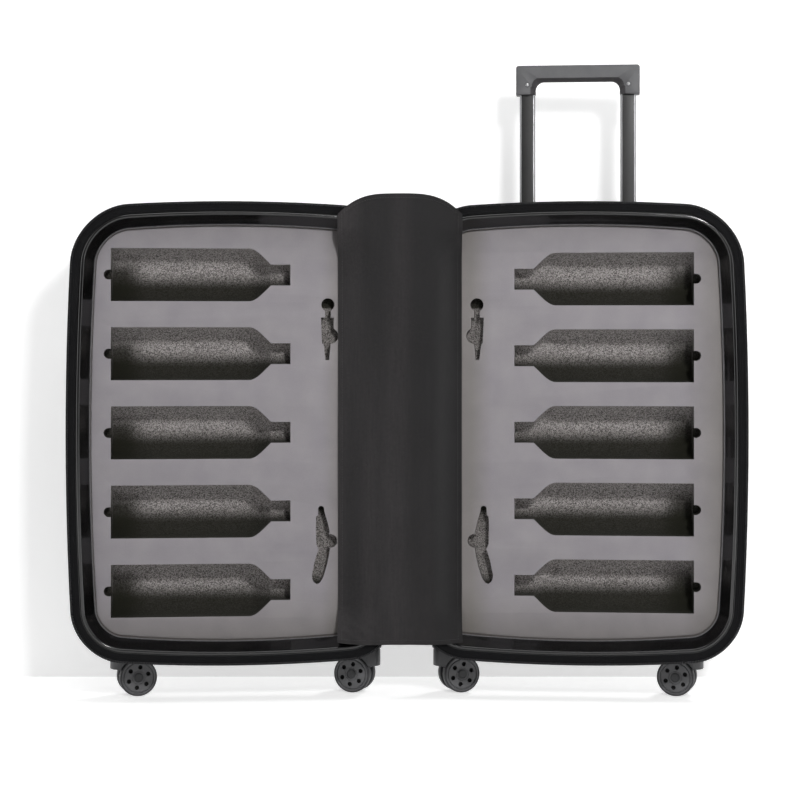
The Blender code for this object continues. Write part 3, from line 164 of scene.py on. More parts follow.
class GroupShelf:
    """The node groups that several finishes share, each built once."""

    def __init__(self) -> None:
        """Build every group."""
        self.groups = {
            Grain.MOULDED: self._moulded(),
            Grain.GLOSS: self._gloss(),
            Grain.WOVEN: self._woven(),
            Grain.FOAM: self._foam(),
            Grain.BRUSHED: self._brushed(),
        }
        self.dust = self._dust()

    @staticmethod
    def _begin(name: str, *outputs: str) -> tuple[Graph, bpy.types.NodeSocket, bpy.types.NodeSocket]:
        """A new group: its graph, and the Vector and the Size that go in.

        Args:
            name: The group's name.
            outputs: The names of what comes out.

        Returns:
            The group's graph, its Vector and its Size.
        """
        tree = bpy.data.node_groups.new(name, "ShaderNodeTree")
        sockets = [("Vector", "INPUT", "NodeSocketVector"), ("Size", "INPUT", "NodeSocketFloat")]
        for socket, way, kind in sockets + [(output, "OUTPUT", "NodeSocketFloat") for output in outputs]:
            tree.interface.new_socket(name=socket, in_out=way, socket_type=kind)
        graph = Graph(tree)
        start = graph.add("NodeGroupInput")
        return graph, start.outputs["Vector"], start.outputs["Size"]

    @staticmethod
    def _close(graph: Graph, **outputs: bpy.types.NodeSocket) -> bpy.types.NodeTree:
        """Feed a group's outputs and hand back its tree."""
        graph.add("NodeGroupOutput", dict(outputs))
        return graph.tree

    @staticmethod
    def _noise(
        graph: Graph, vector: bpy.types.NodeSocket, size: object, factor: float, detail: float, rough: float = 0.5
    ) -> bpy.types.NodeSocket:
        """Noise whose blotches are `factor` times as large as Size.

        Args:
            graph: The group's graph.
            vector: The place of the pattern.
            size: The group's Size.
            factor: The blotches' size in Sizes.
            detail: How many finer layers there are.
            rough: How strong the finer layers are.

        Returns:
            The noise, from 0 to 1.
        """
        scale = graph.sum("DIVIDE", 1.0 / factor, size)
        inputs = {"Vector": vector, "Scale": scale, "Detail": detail, "Roughness": rough}
        return graph.add("TexNoise", inputs).outputs["Fac"]

    def _moulded(self) -> bpy.types.NodeTree:
        """Fine pitted skin of injection-moulded plastic, with faint cloudiness.

        Returns:
            The group.
        """
        graph, vector, size = self._begin(Grain.MOULDED.value, "Mask", "Height")
        pits = self._noise(graph, vector, size, 0.8, 3.0, 0.6)
        cloud = self._noise(graph, vector, size, 28.0, 2.0)
        mask = graph.sum("MULTIPLY_ADD", pits, 0.35, graph.sum("MULTIPLY", cloud, 0.65))
        return self._close(graph, Mask=graph.ramp(mask, 0.3, 0.7), Height=pits)

    def _gloss(self) -> bpy.types.NodeTree:
        """The slow ripple of vacuum-formed gloss sheet, and faint hairlines from handling.

        Returns:
            The group.
        """
        graph, vector, size = self._begin(Grain.GLOSS.value, "Mask", "Height")
        ripple = self._noise(graph, vector, size, 12.0, 1.0)
        hair = self._noise(graph, graph.drawn(vector, (1, 14, 1), (0.4, 0.7, 0.5)), size, 6.0, 2.0, 0.7)
        return self._close(graph, Mask=graph.ramp(hair, 0.62, 0.72), Height=ripple)

    def _woven(self) -> bpy.types.NodeTree:
        """Plain weave: threads that pass over and under each other, uneven in tone.

        Returns:
            The group.
        """
        graph, vector, size = self._begin(Grain.WOVEN.value, "Mask", "Height")
        parts = graph.add("SeparateXYZ", {"Vector": vector})
        across = graph.sum("DIVIDE", graph.sum("ADD", parts.outputs["X"], parts.outputs["Y"]), size)
        along = graph.sum("DIVIDE", parts.outputs["Z"], size)
        warp, weft = (
            graph.sum("ABSOLUTE", graph.sum("SINE", graph.sum("MULTIPLY", way, math.pi))) for way in (across, along)
        )
        joined = graph.add("CombineXYZ", {"X": across, "Y": along, "Z": 0.5}).outputs[0]
        cells = graph.add("TexChecker", {"Scale": 1.0, "Vector": joined})
        thread = graph.add("Mix", {0: cells.outputs["Fac"], 2: warp, 3: weft}, data_type="FLOAT")
        tone = self._noise(graph, vector, size, 5.0, 3.0, 0.7)
        slub = self._noise(graph, graph.drawn(vector, (1, 1, 0.06)), size, 2.5, 2.0)
        both = graph.sum("MULTIPLY_ADD", tone, 0.5, graph.sum("MULTIPLY", slub, 0.5))
        mask = graph.sum("MULTIPLY", graph.ramp(both, 0.3, 0.7), graph.ramp(thread.outputs[0], 0.0, 1.0, (0.6, 1.0)))
        return self._close(graph, Mask=mask, Height=thread.outputs[0])

    def _foam(self) -> bpy.types.NodeTree:
        """Cut closed-cell foam: open cells of uneven size that read as pepper and salt.

        Returns:
            The group.
        """
        graph, vector, size = self._begin(Grain.FOAM.value, "Mask", "Height")
        scale = graph.sum("DIVIDE", 1.0, size)
        cells = graph.add("TexVoronoi", {"Vector": vector, "Scale": scale, "Randomness": 1.0})
        speckle = graph.add("SeparateColor", {"Color": cells.outputs["Color"]})
        rim = graph.ramp(cells.outputs["Distance"], 0.1, 0.6)
        fine = self._noise(graph, vector, size, 0.7, 2.0, 0.6)
        mixed = graph.sum("MULTIPLY_ADD", speckle.outputs[0], 0.6, graph.sum("MULTIPLY", fine, 0.5))
        return self._close(graph, Mask=graph.ramp(mixed, 0.25, 0.85), Height=rim)

    def _brushed(self) -> bpy.types.NodeTree:
        """Drawn metal: long fine lines along the height.

        Returns:
            The group.
        """
        graph, vector, size = self._begin(Grain.BRUSHED.value, "Mask", "Height")
        lines = self._noise(graph, graph.drawn(vector, (1, 1, 0.02)), size, 0.6, 3.0, 0.65)
        cloud = self._noise(graph, vector, size, 30.0, 2.0)
        mask = graph.sum("MULTIPLY_ADD", lines, 0.6, graph.sum("MULTIPLY", cloud, 0.4))
        return self._close(graph, Mask=graph.ramp(mask, 0.3, 0.7), Height=lines)

    def _dust(self) -> bpy.types.NodeTree:
        """Where fine dust and rubbed patches lie, as a mask and a slow blotch.

        Returns:
            The group.
        """
        graph, vector, size = self._begin("dust_and_rub", "Dust", "Rub")
        patches = self._noise(graph, vector, size, 1.0, 4.0, 0.6)
        specks = self._noise(graph, vector, size, 0.03, 1.0)
        dust = graph.sum("MULTIPLY", graph.ramp(patches, 0.45, 0.75), graph.ramp(specks, 0.45, 0.8))
        return self._close(graph, Dust=dust, Rub=graph.ramp(patches, 0.3, 0.7))


@dataclass(frozen=True)
class Fade:
    """A painted shade that comes in along one axis of the object, on both sides of it if mirrored."""

    axis: str
    start: float
    end: float
    strength: float
    mirrored: bool = False


@dataclass(frozen=True)
class Finish:
    """One material: its colours, how it shines and its surface close up, whose sizes are in millimetres."""

    name: str
    light: str
    dark: str
    roughness: float
    grain: Grain
    size: float = 1.2
    relief: float = 0.05
    spread: float = 0.06
    metallic: float = 0.0
    level: float = 0.5
    coat: float = 0.0
    sheen: float = 0.0
    dust: float = 0.15
    dust_colour: str = "6e6a66"
    # painted shade: darker bands along an axis, long streaks of fold shade, and shade in the cavities
    fades: tuple[Fade, ...] = ()
    fade_colour: str = "6a665c"
    streaks: float = 0.0
    streak_colour: str = "161516"
    hollow_colour: str = ""

    def make(self, shelf: GroupShelf) -> bpy.types.Material:
        """Build the material.

        Args:
            shelf: The shared node groups.

        Returns:
            A procedural material that reads Object coordinates.
        """
        material = bpy.data.materials.new(self.name)
        material.use_nodes = True
        graph = Graph(material.node_tree)
        place = graph.add("TexCoord").outputs["Object"]
        grain, dust = graph.add("Group", node_tree=shelf.groups[self.grain]), graph.add("Group", node_tree=shelf.dust)
        for group, size in ((grain, self.size * MM), (dust, DUST_PATCH)):
            graph.tree.links.new(place, group.inputs["Vector"])
            group.inputs["Size"].default_value = size
        tone = graph.blend(grain.outputs["Mask"], linear(self.dark), linear(self.light))
        tone = self._second_tones(graph, place, tone)
        layer = graph.sum("MULTIPLY", dust.outputs["Dust"], self.dust)
        colour = graph.blend(layer, tone, linear(self.dust_colour))
        low, high = max(self.roughness - self.spread, 0.02), min(self.roughness + self.spread, 1.0)
        rough = graph.ramp(dust.outputs["Rub"], 0.0, 1.0, (low, high))
        bump = graph.add("Bump", {"Height": grain.outputs["Height"], "Distance": self.relief * MM, "Strength": 1.0})
        shader = graph.add(
            "BsdfPrincipled",
            {
                "Base Color": colour,
                "Roughness": rough,
                "Metallic": self.metallic,
                "Specular IOR Level": self.level,
                "Coat Weight": self.coat,
                "Coat Roughness": 0.06,
                "Sheen Weight": self.sheen,
                "Sheen Roughness": 0.5,
                "Normal": bump.outputs["Normal"],
            },
        )
        graph.add("OutputMaterial", {"Surface": shader.outputs["BSDF"]})
        return material

    def _second_tones(
        self, graph: Graph, place: bpy.types.NodeSocket, tone: bpy.types.NodeSocket
    ) -> bpy.types.NodeSocket:
        """Lay painted shade over the grain's colour: darker bands along an axis, long streaks of fold shade and the
        shade in the cavities.

        Args:
            graph: The material's graph.
            place: The object coordinates.
            tone: The colour so far.

        Returns:
            The colour with its painted shade.
        """
        # painted shade: a darker tone towards an edge of the object, where shade falls
        for shade_band in self.fades:
            reach = graph.add("SeparateXYZ", {"Vector": place}).outputs[shade_band.axis]
            if shade_band.mirrored:
                reach = graph.sum("ABSOLUTE", reach)
            share = graph.ramp(reach, shade_band.start, shade_band.end, (0.0, shade_band.strength))
            tone = graph.blend(share, tone, linear(self.fade_colour))
        # painted shade of the cloth's folds, as long dark streaks
        if self.streaks:
            bands = graph.add("TexNoise", {"Vector": graph.drawn(place, (1, 1, 0.04)), "Scale": 24.0, "Detail": 0.5})
            share = graph.ramp(bands.outputs["Fac"], 0.36, 0.64, (0.0, self.streaks))
            tone = graph.blend(share, tone, linear(self.streak_colour))
        # painted shade in the cavities, read from the stored attribute
        if self.hollow_colour:
            inside = graph.add("Attribute", attribute_name=PAINTED_HOLLOW_SHADE).outputs["Fac"]
            tone = graph.blend(inside, tone, linear(self.hollow_colour))
        return tone


class Wardrobe:
    """All the finishes of the suitcase, by key, and the materials made from them."""

    FINISHES = {
        "shell": Finish("gloss_black_shell", "0e0e10", "08080a", 0.16, Grain.GLOSS, 4, 0.03, 0.04, coat=0.3,
                        dust=0.05),
        "rim": Finish("gloss_black_rim", "08080a", "050506", 0.17, Grain.GLOSS, 3, 0.04, 0.05, coat=0.3, dust=0.07),
        "zip_tape": Finish("black_woven_zip_tape", "101012", "08080a", 0.80, Grain.WOVEN, 0.9, 0.12,
                           level=0.15, dust=0.03),
        "teeth": Finish("black_zip_teeth", "242427", "101012", 0.30, Grain.MOULDED, 0.6, 0.02, dust=0.08),
        "zip_metal": Finish("dark_zip_metal", "58585a", "38383a", 0.34, Grain.BRUSHED, 0.5, 0.01,
                            metallic=1.0, dust=0.05),
        "lining": Finish("dark_brown_lining", "453e3b", "2e2927", 0.85, Grain.WOVEN, 0.8, 0.10,
                         sheen=0.15, dust=0.15),
        "piping": Finish("grey_piping", "6c6a6c", "4a494b", 0.75, Grain.WOVEN, 0.7, 0.10, sheen=0.2),
        # painted light and shade: the light tone is raised so that the cavities' upper walls read lit, and the hollow
        # colour paints shade on their lower walls and base ends
        "foam_core": Finish("charcoal_foam", "cbc5c3", "4e4b49", 0.96, Grain.FOAM, 1.3, 0.35,
                            level=0.2, dust=0.0, hollow_colour="1f1f17"),
        # painted shade: the face is darkened towards the bottom, beside the cover, along the rear half's outer side
        # and under the top
        "foam_face": Finish("matt_grey_foam_face", "969295", "89858a", 0.92, Grain.MOULDED, 1.6, 0.05,
                            level=0.25, dust=0.10, dust_colour="a7a29c",
                            fades=(Fade("Z", 0.185, 0.100, 0.42), Fade("X", 0.140, 0.106, 0.50, mirrored=True),
                                   Fade("X", 0.450, 0.520, 0.60), Fade("Z", 0.745, 0.790, 0.22))),
        # painted shade: long dark streaks for the shade of the folds, and darker towards the right, where the cloth
        # turns away from the light
        "spine": Finish("woven_black_polyester", "343132", "232122", 0.80, Grain.WOVEN, 1.1, 0.16,
                        level=0.3, sheen=0.10, dust=0.06, streaks=0.8,
                        fades=(Fade("X", -0.045, 0.080, 0.85),), fade_colour="100e0f"),
        "thread": Finish("black_sewing_thread", "3f3d3e", "242324", 0.6, Grain.WOVEN, 0.3, 0.03, sheen=0.2),
        "steel": Finish("plain_steel", "c3c3c5", "a4a4a6", 0.34, Grain.BRUSHED, 0.8, 0.01,
                        metallic=1.0, dust=0.05),
        "silver": Finish("bright_aluminium_edge", "a6a6a8", "949496", 0.42, Grain.BRUSHED, 0.5, 0.004,
                         metallic=1.0, dust=0.0),
        "tube": Finish("black_anodised_tube", "0d0c0c", "080707", 0.40, Grain.BRUSHED, 0.7, 0.01,
                       level=0.4, dust=0.05),
        "grip": Finish("grey_grip_plastic", "555557", "4c4c4e", 0.50, Grain.MOULDED, 0.7, 0.04, dust=0.08),
        # a darker tone on the slope round the grip's opening and on its underside
        "inlay": Finish("dark_grip_opening", "3b393b", "302e30", 0.62, Grain.MOULDED, 0.6, 0.06,
                        level=0.35, dust=0.05),
        "handle": Finish("black_rubber_handle", "262626", "171717", 0.62, Grain.MOULDED, 0.8, 0.08),
        "moulding": Finish("dark_grey_moulding", "3e3e40", "2e2e30", 0.42, Grain.MOULDED, 0.8, 0.04),
        "wheel": Finish("grey_wheel_plastic", "646466", "555557", 0.34, Grain.MOULDED, 0.9, 0.02, coat=0.1),
        # painted shadow: a dark material inside the wheel holes
        "hole": Finish("wheel_hole_shadow", "1a1a1b", "101011", 0.55, Grain.MOULDED, 0.9, 0.03, level=0.2),
        "tread": Finish("wheel_tread_rubber", "39393b", "27272a", 0.6, Grain.MOULDED, 0.9, 0.05),
        "dial": Finish("black_dial", "2b2b2c", "1b1b1c", 0.4, Grain.MOULDED, 0.5, 0.01),
        "digits": Finish("white_dial_numbers", "e2e0dc", "cfcdc9", 0.5, Grain.MOULDED, 0.4, 0.004, dust=0.0),
    }

    SLOTS = {"teeth": "zip_tape", "piping": "lining", "thread": "spine", "tread": "wheel", "digits": "dial"}

    def __init__(self) -> None:
        """Make every material once."""
        shelf = GroupShelf()
        self.materials = {key: finish.make(shelf) for key, finish in self.FINISHES.items()}

    def __getitem__(self, key: str) -> bpy.types.Material:
        """The material of a finish."""
        return self.materials[key]

    def dress(self, item: bpy.types.Object, finish: str, body: str = "", node: str = "", slot: str = "") -> None:
        """Give a finished piece its material, the body it rides on and the node it stands for.

        Args:
            item: The piece.
            finish: The finish's key.
            body: The body that carries it, or nothing for a piece that rides on no body.
            node: The solid that it replaces, if it does.
            slot: The record's material slot, where it isn't the finish's own; not used.
        """
        item.data.materials.clear()
        item.data.materials.append(self[finish])
        if body:
            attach(item, body)
        if node:
            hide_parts(node)
        slot or self.SLOTS.get(finish, finish)
        log.info("%s: %d faces", item.name, len(item.data.polygons))


# The modelling bench


class Bench:
    """One piece on the bench: begun from a primitive, shaped in edit mode, then finished and placed."""

    def __init__(self, item: bpy.types.Object) -> None:
        """Take an object that is already in edit mode."""
        self.item = item

    @staticmethod
    def clear() -> None:
        """Leave edit mode and deselect everything."""
        if bpy.context.mode != "OBJECT":
            bpy.ops.object.mode_set(mode="OBJECT")
        bpy.ops.object.select_all(action="DESELECT")

    @staticmethod
    def take(item: bpy.types.Object) -> None:
        """Make an object the active one and the only one selected.

        Args:
            item: The object.
        """
        Bench.clear()
        bpy.context.view_layer.objects.active = item
        item.select_set(True)

    @classmethod
    def _begun(cls, name: str) -> "Bench":
        """Name the new primitive, fix its place in its mesh and open it for editing.

        Args:
            name: The piece's name.

        Returns:
            The bench with the primitive on it.
        """
        item = bpy.context.active_object
        item.name = item.data.name = name
        bpy.ops.object.transform_apply(location=True, rotation=True, scale=True)
        bpy.ops.object.mode_set(mode="EDIT")
        bpy.ops.mesh.select_all(action="DESELECT")
        return cls(item)

    @contextmanager
    def _mesh(self) -> Iterator[bmesh.types.BMesh]:
        """The mesh that is being edited, written back at the end."""
        shape = bmesh.from_edit_mesh(self.item.data)
        yield shape
        bmesh.update_edit_mesh(self.item.data)

    @staticmethod
    def face_outwards() -> None:
        """Select everything and turn the faces outwards."""
        bpy.ops.mesh.select_all(action="SELECT")
        bpy.ops.mesh.normals_make_consistent(inside=False)

    def weld(self, distance: float) -> "Bench":
        """Join the points that lie closer than a distance.

        Args:
            distance: The distance.

        Returns:
            The bench.
        """
        bpy.ops.mesh.select_all(action="SELECT")
        bpy.ops.mesh.remove_doubles(threshold=distance)
        bpy.ops.mesh.select_all(action="DESELECT")
        return self

    @classmethod
    def cube(cls, name: str, size: Sequence[float], centre: Sequence[float] = (0, 0, 0)) -> "Bench":
        """Begin with a box.

        Args:
            name: The piece's name.
            size: Its three sides.
            centre: Its middle.

        Returns:
            The bench with the box on it.
        """
        cls.clear()
        bpy.ops.mesh.primitive_cube_add(size=1.0, location=centre, scale=size)
        return cls._begun(name)

    @classmethod
    def rod(
        cls, name: str, radius: float, length: float, centre: Sequence[float] = (0, 0, 0), axis: str = "Z",
        steps: int = 48,
    ) -> "Bench":
        """Begin with a cylinder.

        Args:
            name: The piece's name.
            radius: Its radius.
            length: Its length along the axis.
            centre: Its middle.
            axis: X, Y or Z.
            steps: Its sides.

        Returns:
            The bench with the cylinder on it.
        """
        cls.clear()
        turn = {"X": (0, math.pi / 2, 0), "Y": (math.pi / 2, 0, 0), "Z": (0, 0, 0)}[axis]
        bpy.ops.mesh.primitive_cylinder_add(
            vertices=steps, radius=radius, depth=length, location=centre, rotation=turn
        )
        return cls._begun(name)

    @classmethod
    def rings(cls, name: str, rings: Sequence[Sequence[Point]], around: bool = False, caps: bool = False) -> "Bench":
        """Begin with a grid and wrap it over a row of sections, one after the other.

        Args:
            name: The piece's name.
            rings: The sections, all with the same number of points.
            around: Whether the last section leads back to the first.
            caps: Whether the first and last sections are filled.

        Returns:
            The bench with the swept body on it.
        """
        count, rows = len(rings[0]), len(rings) if around else len(rings) - 1
        places = [list(map(Vector, ring)) for ring in rings]

        def wrapped(x_share: float, up_share: float) -> Point:
            """The point of a section for a point of the grid."""
            return places[round(up_share * rows) % len(rings)][round(x_share * count) % count]

        bench = cls.sheet(name, count, rows, wrapped).weld(0.001 * MM)
        return bench.fill(rings[0]).fill(rings[-1]) if caps else bench

    def fill(self, ring: Sequence[Point]) -> "Bench":
        """Close the open end that runs through a section's points.

        Args:
            ring: The section's points.

        Returns:
            The bench.
        """
        ends = {tuple(round(value, 5) for value in point) for point in ring}
        bpy.ops.mesh.select_mode(type="EDGE")
        bpy.ops.mesh.select_all(action="DESELECT")
        with self._mesh() as shape:
            for edge in shape.edges:
                if edge.is_boundary and all(tuple(round(v, 5) for v in vert.co) in ends for vert in edge.verts):
                    edge.select_set(True)
        bpy.ops.mesh.edge_face_add()
        return self

    @classmethod
    def sheet(cls, name: str, columns: int, rows: int, surface: Callable[[float, float], Point]) -> "Bench":
        """Begin with a grid and lay its points on a surface.

        Args:
            name: The piece's name.
            columns: Its cells across.
            rows: Its cells upwards.
            surface: The place of a point, from its two shares across and up.

        Returns:
            The bench with the sheet on it.
        """
        cls.clear()
        bpy.ops.mesh.primitive_grid_add(x_subdivisions=columns, y_subdivisions=rows, size=2.0)
        bench = cls._begun(name)
        with bench._mesh() as shape:
            for vert in shape.verts:
                vert.co = surface((vert.co.x + 1) / 2, (vert.co.y + 1) / 2)
        return bench

    @classmethod
    def plate(
        cls, name: str, loops: Sequence[Sequence[Flat]], thickness: float, edge: float = 0.0, steps: int = 2
    ) -> "Bench":
        """Begin with a flat outline, with holes, given a thickness and rounded edges, and made a mesh.

        Args:
            name: The piece's name.
            loops: The outline and its holes, in X and Z.
            thickness: The plate's thickness along Y, about Y = 0.
            edge: The radius of its edges.
            steps: How finely the edges are rounded.

        Returns:
            The bench with the plate on it.
        """
        cls.clear()
        curve = bpy.data.curves.new(name, "CURVE")
        curve.dimensions = "2D"
        curve.fill_mode = "BOTH"
        curve.extrude = thickness / 2 - edge
        curve.bevel_depth = edge
        curve.bevel_resolution = steps
        curve.offset = -edge
        for loop in loops:
            spline = curve.splines.new("POLY")
            spline.points.add(len(loop) - 1)
            for point, (x, z) in zip(spline.points, loop):
                point.co = (x, z, 0, 1)
            spline.use_cyclic_u = True
        item = bpy.data.objects.new(name, curve)
        bpy.context.scene.collection.objects.link(item)
        cls.take(item)
        bpy.ops.object.convert(target="MESH")
        item = bpy.context.active_object
        item.data.transform(Matrix.Rotation(math.pi / 2, 4, "X"))
        bpy.ops.object.mode_set(mode="EDIT")
        return cls(item).weld(0.002 * MM)

    @classmethod
    def turned(cls, name: str, profile: Sequence[Flat], steps: int = 48) -> "Bench":
        """Begin with a profile and spin it about Z.

        Args:
            name: The piece's name.
            profile: Points (radius, height), from the first to the last round the body's section.
            steps: How many steps a full turn has.

        Returns:
            The bench with the turned body on it.
        """
        cls.clear()
        bpy.ops.mesh.primitive_circle_add(vertices=len(profile), radius=1.0)
        bench = cls._begun(name)
        with bench._mesh() as shape:
            shape.verts.ensure_lookup_table()
            for vert, (radius, height) in zip(shape.verts, profile):
                vert.co = (radius, 0, height)
            axis_edges = [edge for edge in shape.edges if all(vert.co.x < 1e-7 for vert in edge.verts)]
            bmesh.ops.delete(shape, geom=axis_edges, context="EDGES")
        bpy.ops.mesh.select_all(action="SELECT")
        bpy.ops.mesh.spin(steps=steps, angle=2 * math.pi, center=(0, 0, 0), axis=(0, 0, 1))
        return bench.weld(0.005 * MM)

    def pick(self, kind: Pick, test: Callable[..., bool]) -> "Bench":
        """Select only what passes a test.

        Args:
            kind: Whether vertices, edges or faces are tested.
            test: Takes a vertex's place, an edge's two ends, or a face's centre and normal.

        Returns:
            The bench.
        """
        bpy.ops.mesh.select_mode(type=kind.value)
        bpy.ops.mesh.select_all(action="DESELECT")
        with self._mesh() as shape:
            shape.normal_update()
            if kind is Pick.FACES:
                found = [face for face in shape.faces if test(face.calc_center_median(), face.normal)]
            elif kind is Pick.EDGES:
                found = [edge for edge in shape.edges if test(edge.verts[0].co, edge.verts[1].co)]
            else:
                found = [vert for vert in shape.verts if test(vert.co)]
            for element in found:
                element.select_set(True)
        return self

    def round_upright(self, width: float, segments: int) -> "Bench":
        """Round the edges that run upwards."""
        return self.pick(Pick.EDGES, lambda a, b: abs(a.z - b.z) > MM).bevel(width, segments)

    def round_above(self, height: float, width: float, segments: int) -> "Bench":
        """Round the edges that lie above a height."""
        return self.pick(Pick.EDGES, lambda a, b: min(a.z, b.z) > height).bevel(width, segments)

    def round_below(self, height: float, width: float, segments: int) -> "Bench":
        """Round the edges that lie below a height."""
        return self.pick(Pick.EDGES, lambda a, b: max(a.z, b.z) < height).bevel(width, segments)

    def inset_top(self, rim: float) -> "Bench":
        """Inset the top, which is centred on the axis, and leave what is inside the rim selected."""
        self.pick(Pick.FACES, lambda centre, normal: normal.z > 0.9).inset(rim)
        return self.pick(Pick.FACES, lambda centre, normal: normal.z > 0.9 and centre.xy.length < MM)

    def extrude(self, move: Sequence[float]) -> "Bench":
        """Pull the selected faces or edges out by a vector."""
        bpy.ops.mesh.extrude_region_move(TRANSFORM_OT_translate={"value": move})
        return self

    def inset(self, thickness: float, depth: float = 0.0) -> "Bench":
        """Inset the selected faces."""
        bpy.ops.mesh.inset(thickness=thickness, depth=depth)
        return self

    def bevel(self, width: float, segments: int = 3) -> "Bench":
        """Round the selected edges."""
        bpy.ops.mesh.bevel(offset=width, segments=segments, affect="EDGES")
        return self

    def resize(self, factors: Sequence[float], centre: Sequence[float]) -> "Bench":
        """Scale what is selected about a point."""
        bpy.ops.transform.resize(value=factors, center_override=centre)
        return self

    def modify(self, kind: str, **settings: object) -> "Bench":
        """Add a modifier with its settings and apply it.

        Args:
            kind: The modifier's type.
            settings: What is set on it.

        Returns:
            The bench.
        """
        bpy.ops.object.mode_set(mode="OBJECT")
        bpy.context.view_layer.objects.active = self.item
        modifier = self.item.modifiers.new(kind.lower(), kind)
        for key, value in settings.items():
            setattr(modifier, key, value)
        bpy.ops.object.modifier_apply(modifier=modifier.name)
        bpy.ops.object.mode_set(mode="EDIT")
        return self

    def round_edges(self, width: float, segments: int = 3, angle: float = 30) -> "Bench":
        """Round every edge that is sharper than an angle in degrees.

        Args:
            width: How wide the rounding is.
            segments: How many steps it has.
            angle: The angle.

        Returns:
            The bench.
        """
        return self.modify(
            "BEVEL", width=width, segments=segments, limit_method="ANGLE", angle_limit=math.radians(angle)
        )

    def combine(self, *tools: "Bench", how: str = "DIFFERENCE") -> "Bench":
        """Cut other benches' bodies out of this one, or join them to it; the tools are used up.

        Args:
            tools: The bodies.
            how: DIFFERENCE or UNION.

        Returns:
            The bench.
        """
        for tool in tools:
            Bench.take(tool.item)
            bpy.ops.object.mode_set(mode="EDIT")
            self.face_outwards()
            Bench.take(self.item)
            modifier = self.item.modifiers.new("tool", "BOOLEAN")
            modifier.operation = how
            modifier.solver = "EXACT"
            modifier.object = tool.item
            bpy.ops.object.modifier_apply(modifier=modifier.name)
            old = tool.item.data
            bpy.data.objects.remove(tool.item)
            bpy.data.meshes.remove(old)
        Bench.take(self.item)
        bpy.ops.object.mode_set(mode="EDIT")
        return self

    def cut_box(self, size: Sequence[float], centre: Sequence[float]) -> "Bench":
        """Cut a box out of the body."""
        return self.combine(Bench.cube("box_tool", size, centre))

    def drill(
        self, radius: float, length: float, centre: Sequence[float], axis: str = "Z", steps: int = 32
    ) -> "Bench":
        """Cut a cylinder out of the body, described as in `rod`."""
        return self.combine(Bench.rod("rod_tool", radius, length, centre, axis, steps))

    def place(self, matrix: Matrix, angle: float = 35) -> bpy.types.Object:
        """Put the mesh in its place, point its faces outwards and shade it smooth up to its real edges.

        Args:
            matrix: Where the piece's own frame goes.
            angle: Edges sharper than this many degrees stay sharp.

        Returns:
            The finished object, at the origin.
        """
        bpy.ops.object.mode_set(mode="OBJECT")
        self.item.data.transform(matrix)
        Bench.take(self.item)
        bpy.ops.object.mode_set(mode="EDIT")
        bpy.ops.mesh.select_all(action="SELECT")
        bpy.ops.mesh.fill_holes(sides=3)  # a slit that a cut can leave
        self.face_outwards()
        bpy.ops.object.mode_set(mode="OBJECT")
        bpy.ops.object.shade_smooth_by_angle(angle=math.radians(angle))
        Bench.clear()
        return self.item


def many(name: str, model: bpy.types.Object, places: Sequence[Matrix]) -> bpy.types.Object:
    """One object with a copy of a small model at every place; the model is used up.

    Args:
        name: The new object's name.
        model: The small piece, modelled once.
        places: Where its copies go.

    Returns:
        The object that holds all the copies.
    """
    count = len(model.data.vertices)
    flat = np.empty(count * 3)
    model.data.vertices.foreach_get("co", flat)
    local = np.c_[flat.reshape(-1, 3), np.ones(count)]
    polygons = [tuple(polygon.vertices) for polygon in model.data.polygons]
    points = np.concatenate([(local @ np.array(place).T)[:, :3] for place in places])
    faces = [tuple(v + index * count for v in polygon) for index in range(len(places)) for polygon in polygons]
    mesh = bpy.data.meshes.new(name)
    mesh.from_pydata(points.tolist(), [], faces)
    item = bpy.data.objects.new(name, mesh)
    bpy.context.scene.collection.objects.link(item)
    bpy.data.objects.remove(model)
    Bench.take(item)
    bpy.ops.object.shade_smooth_by_angle(angle=math.radians(40))
    bpy.ops.object.mode_set(mode="EDIT")
    Bench.face_outwards()
    Bench.clear()
    return item


# The frame of a half


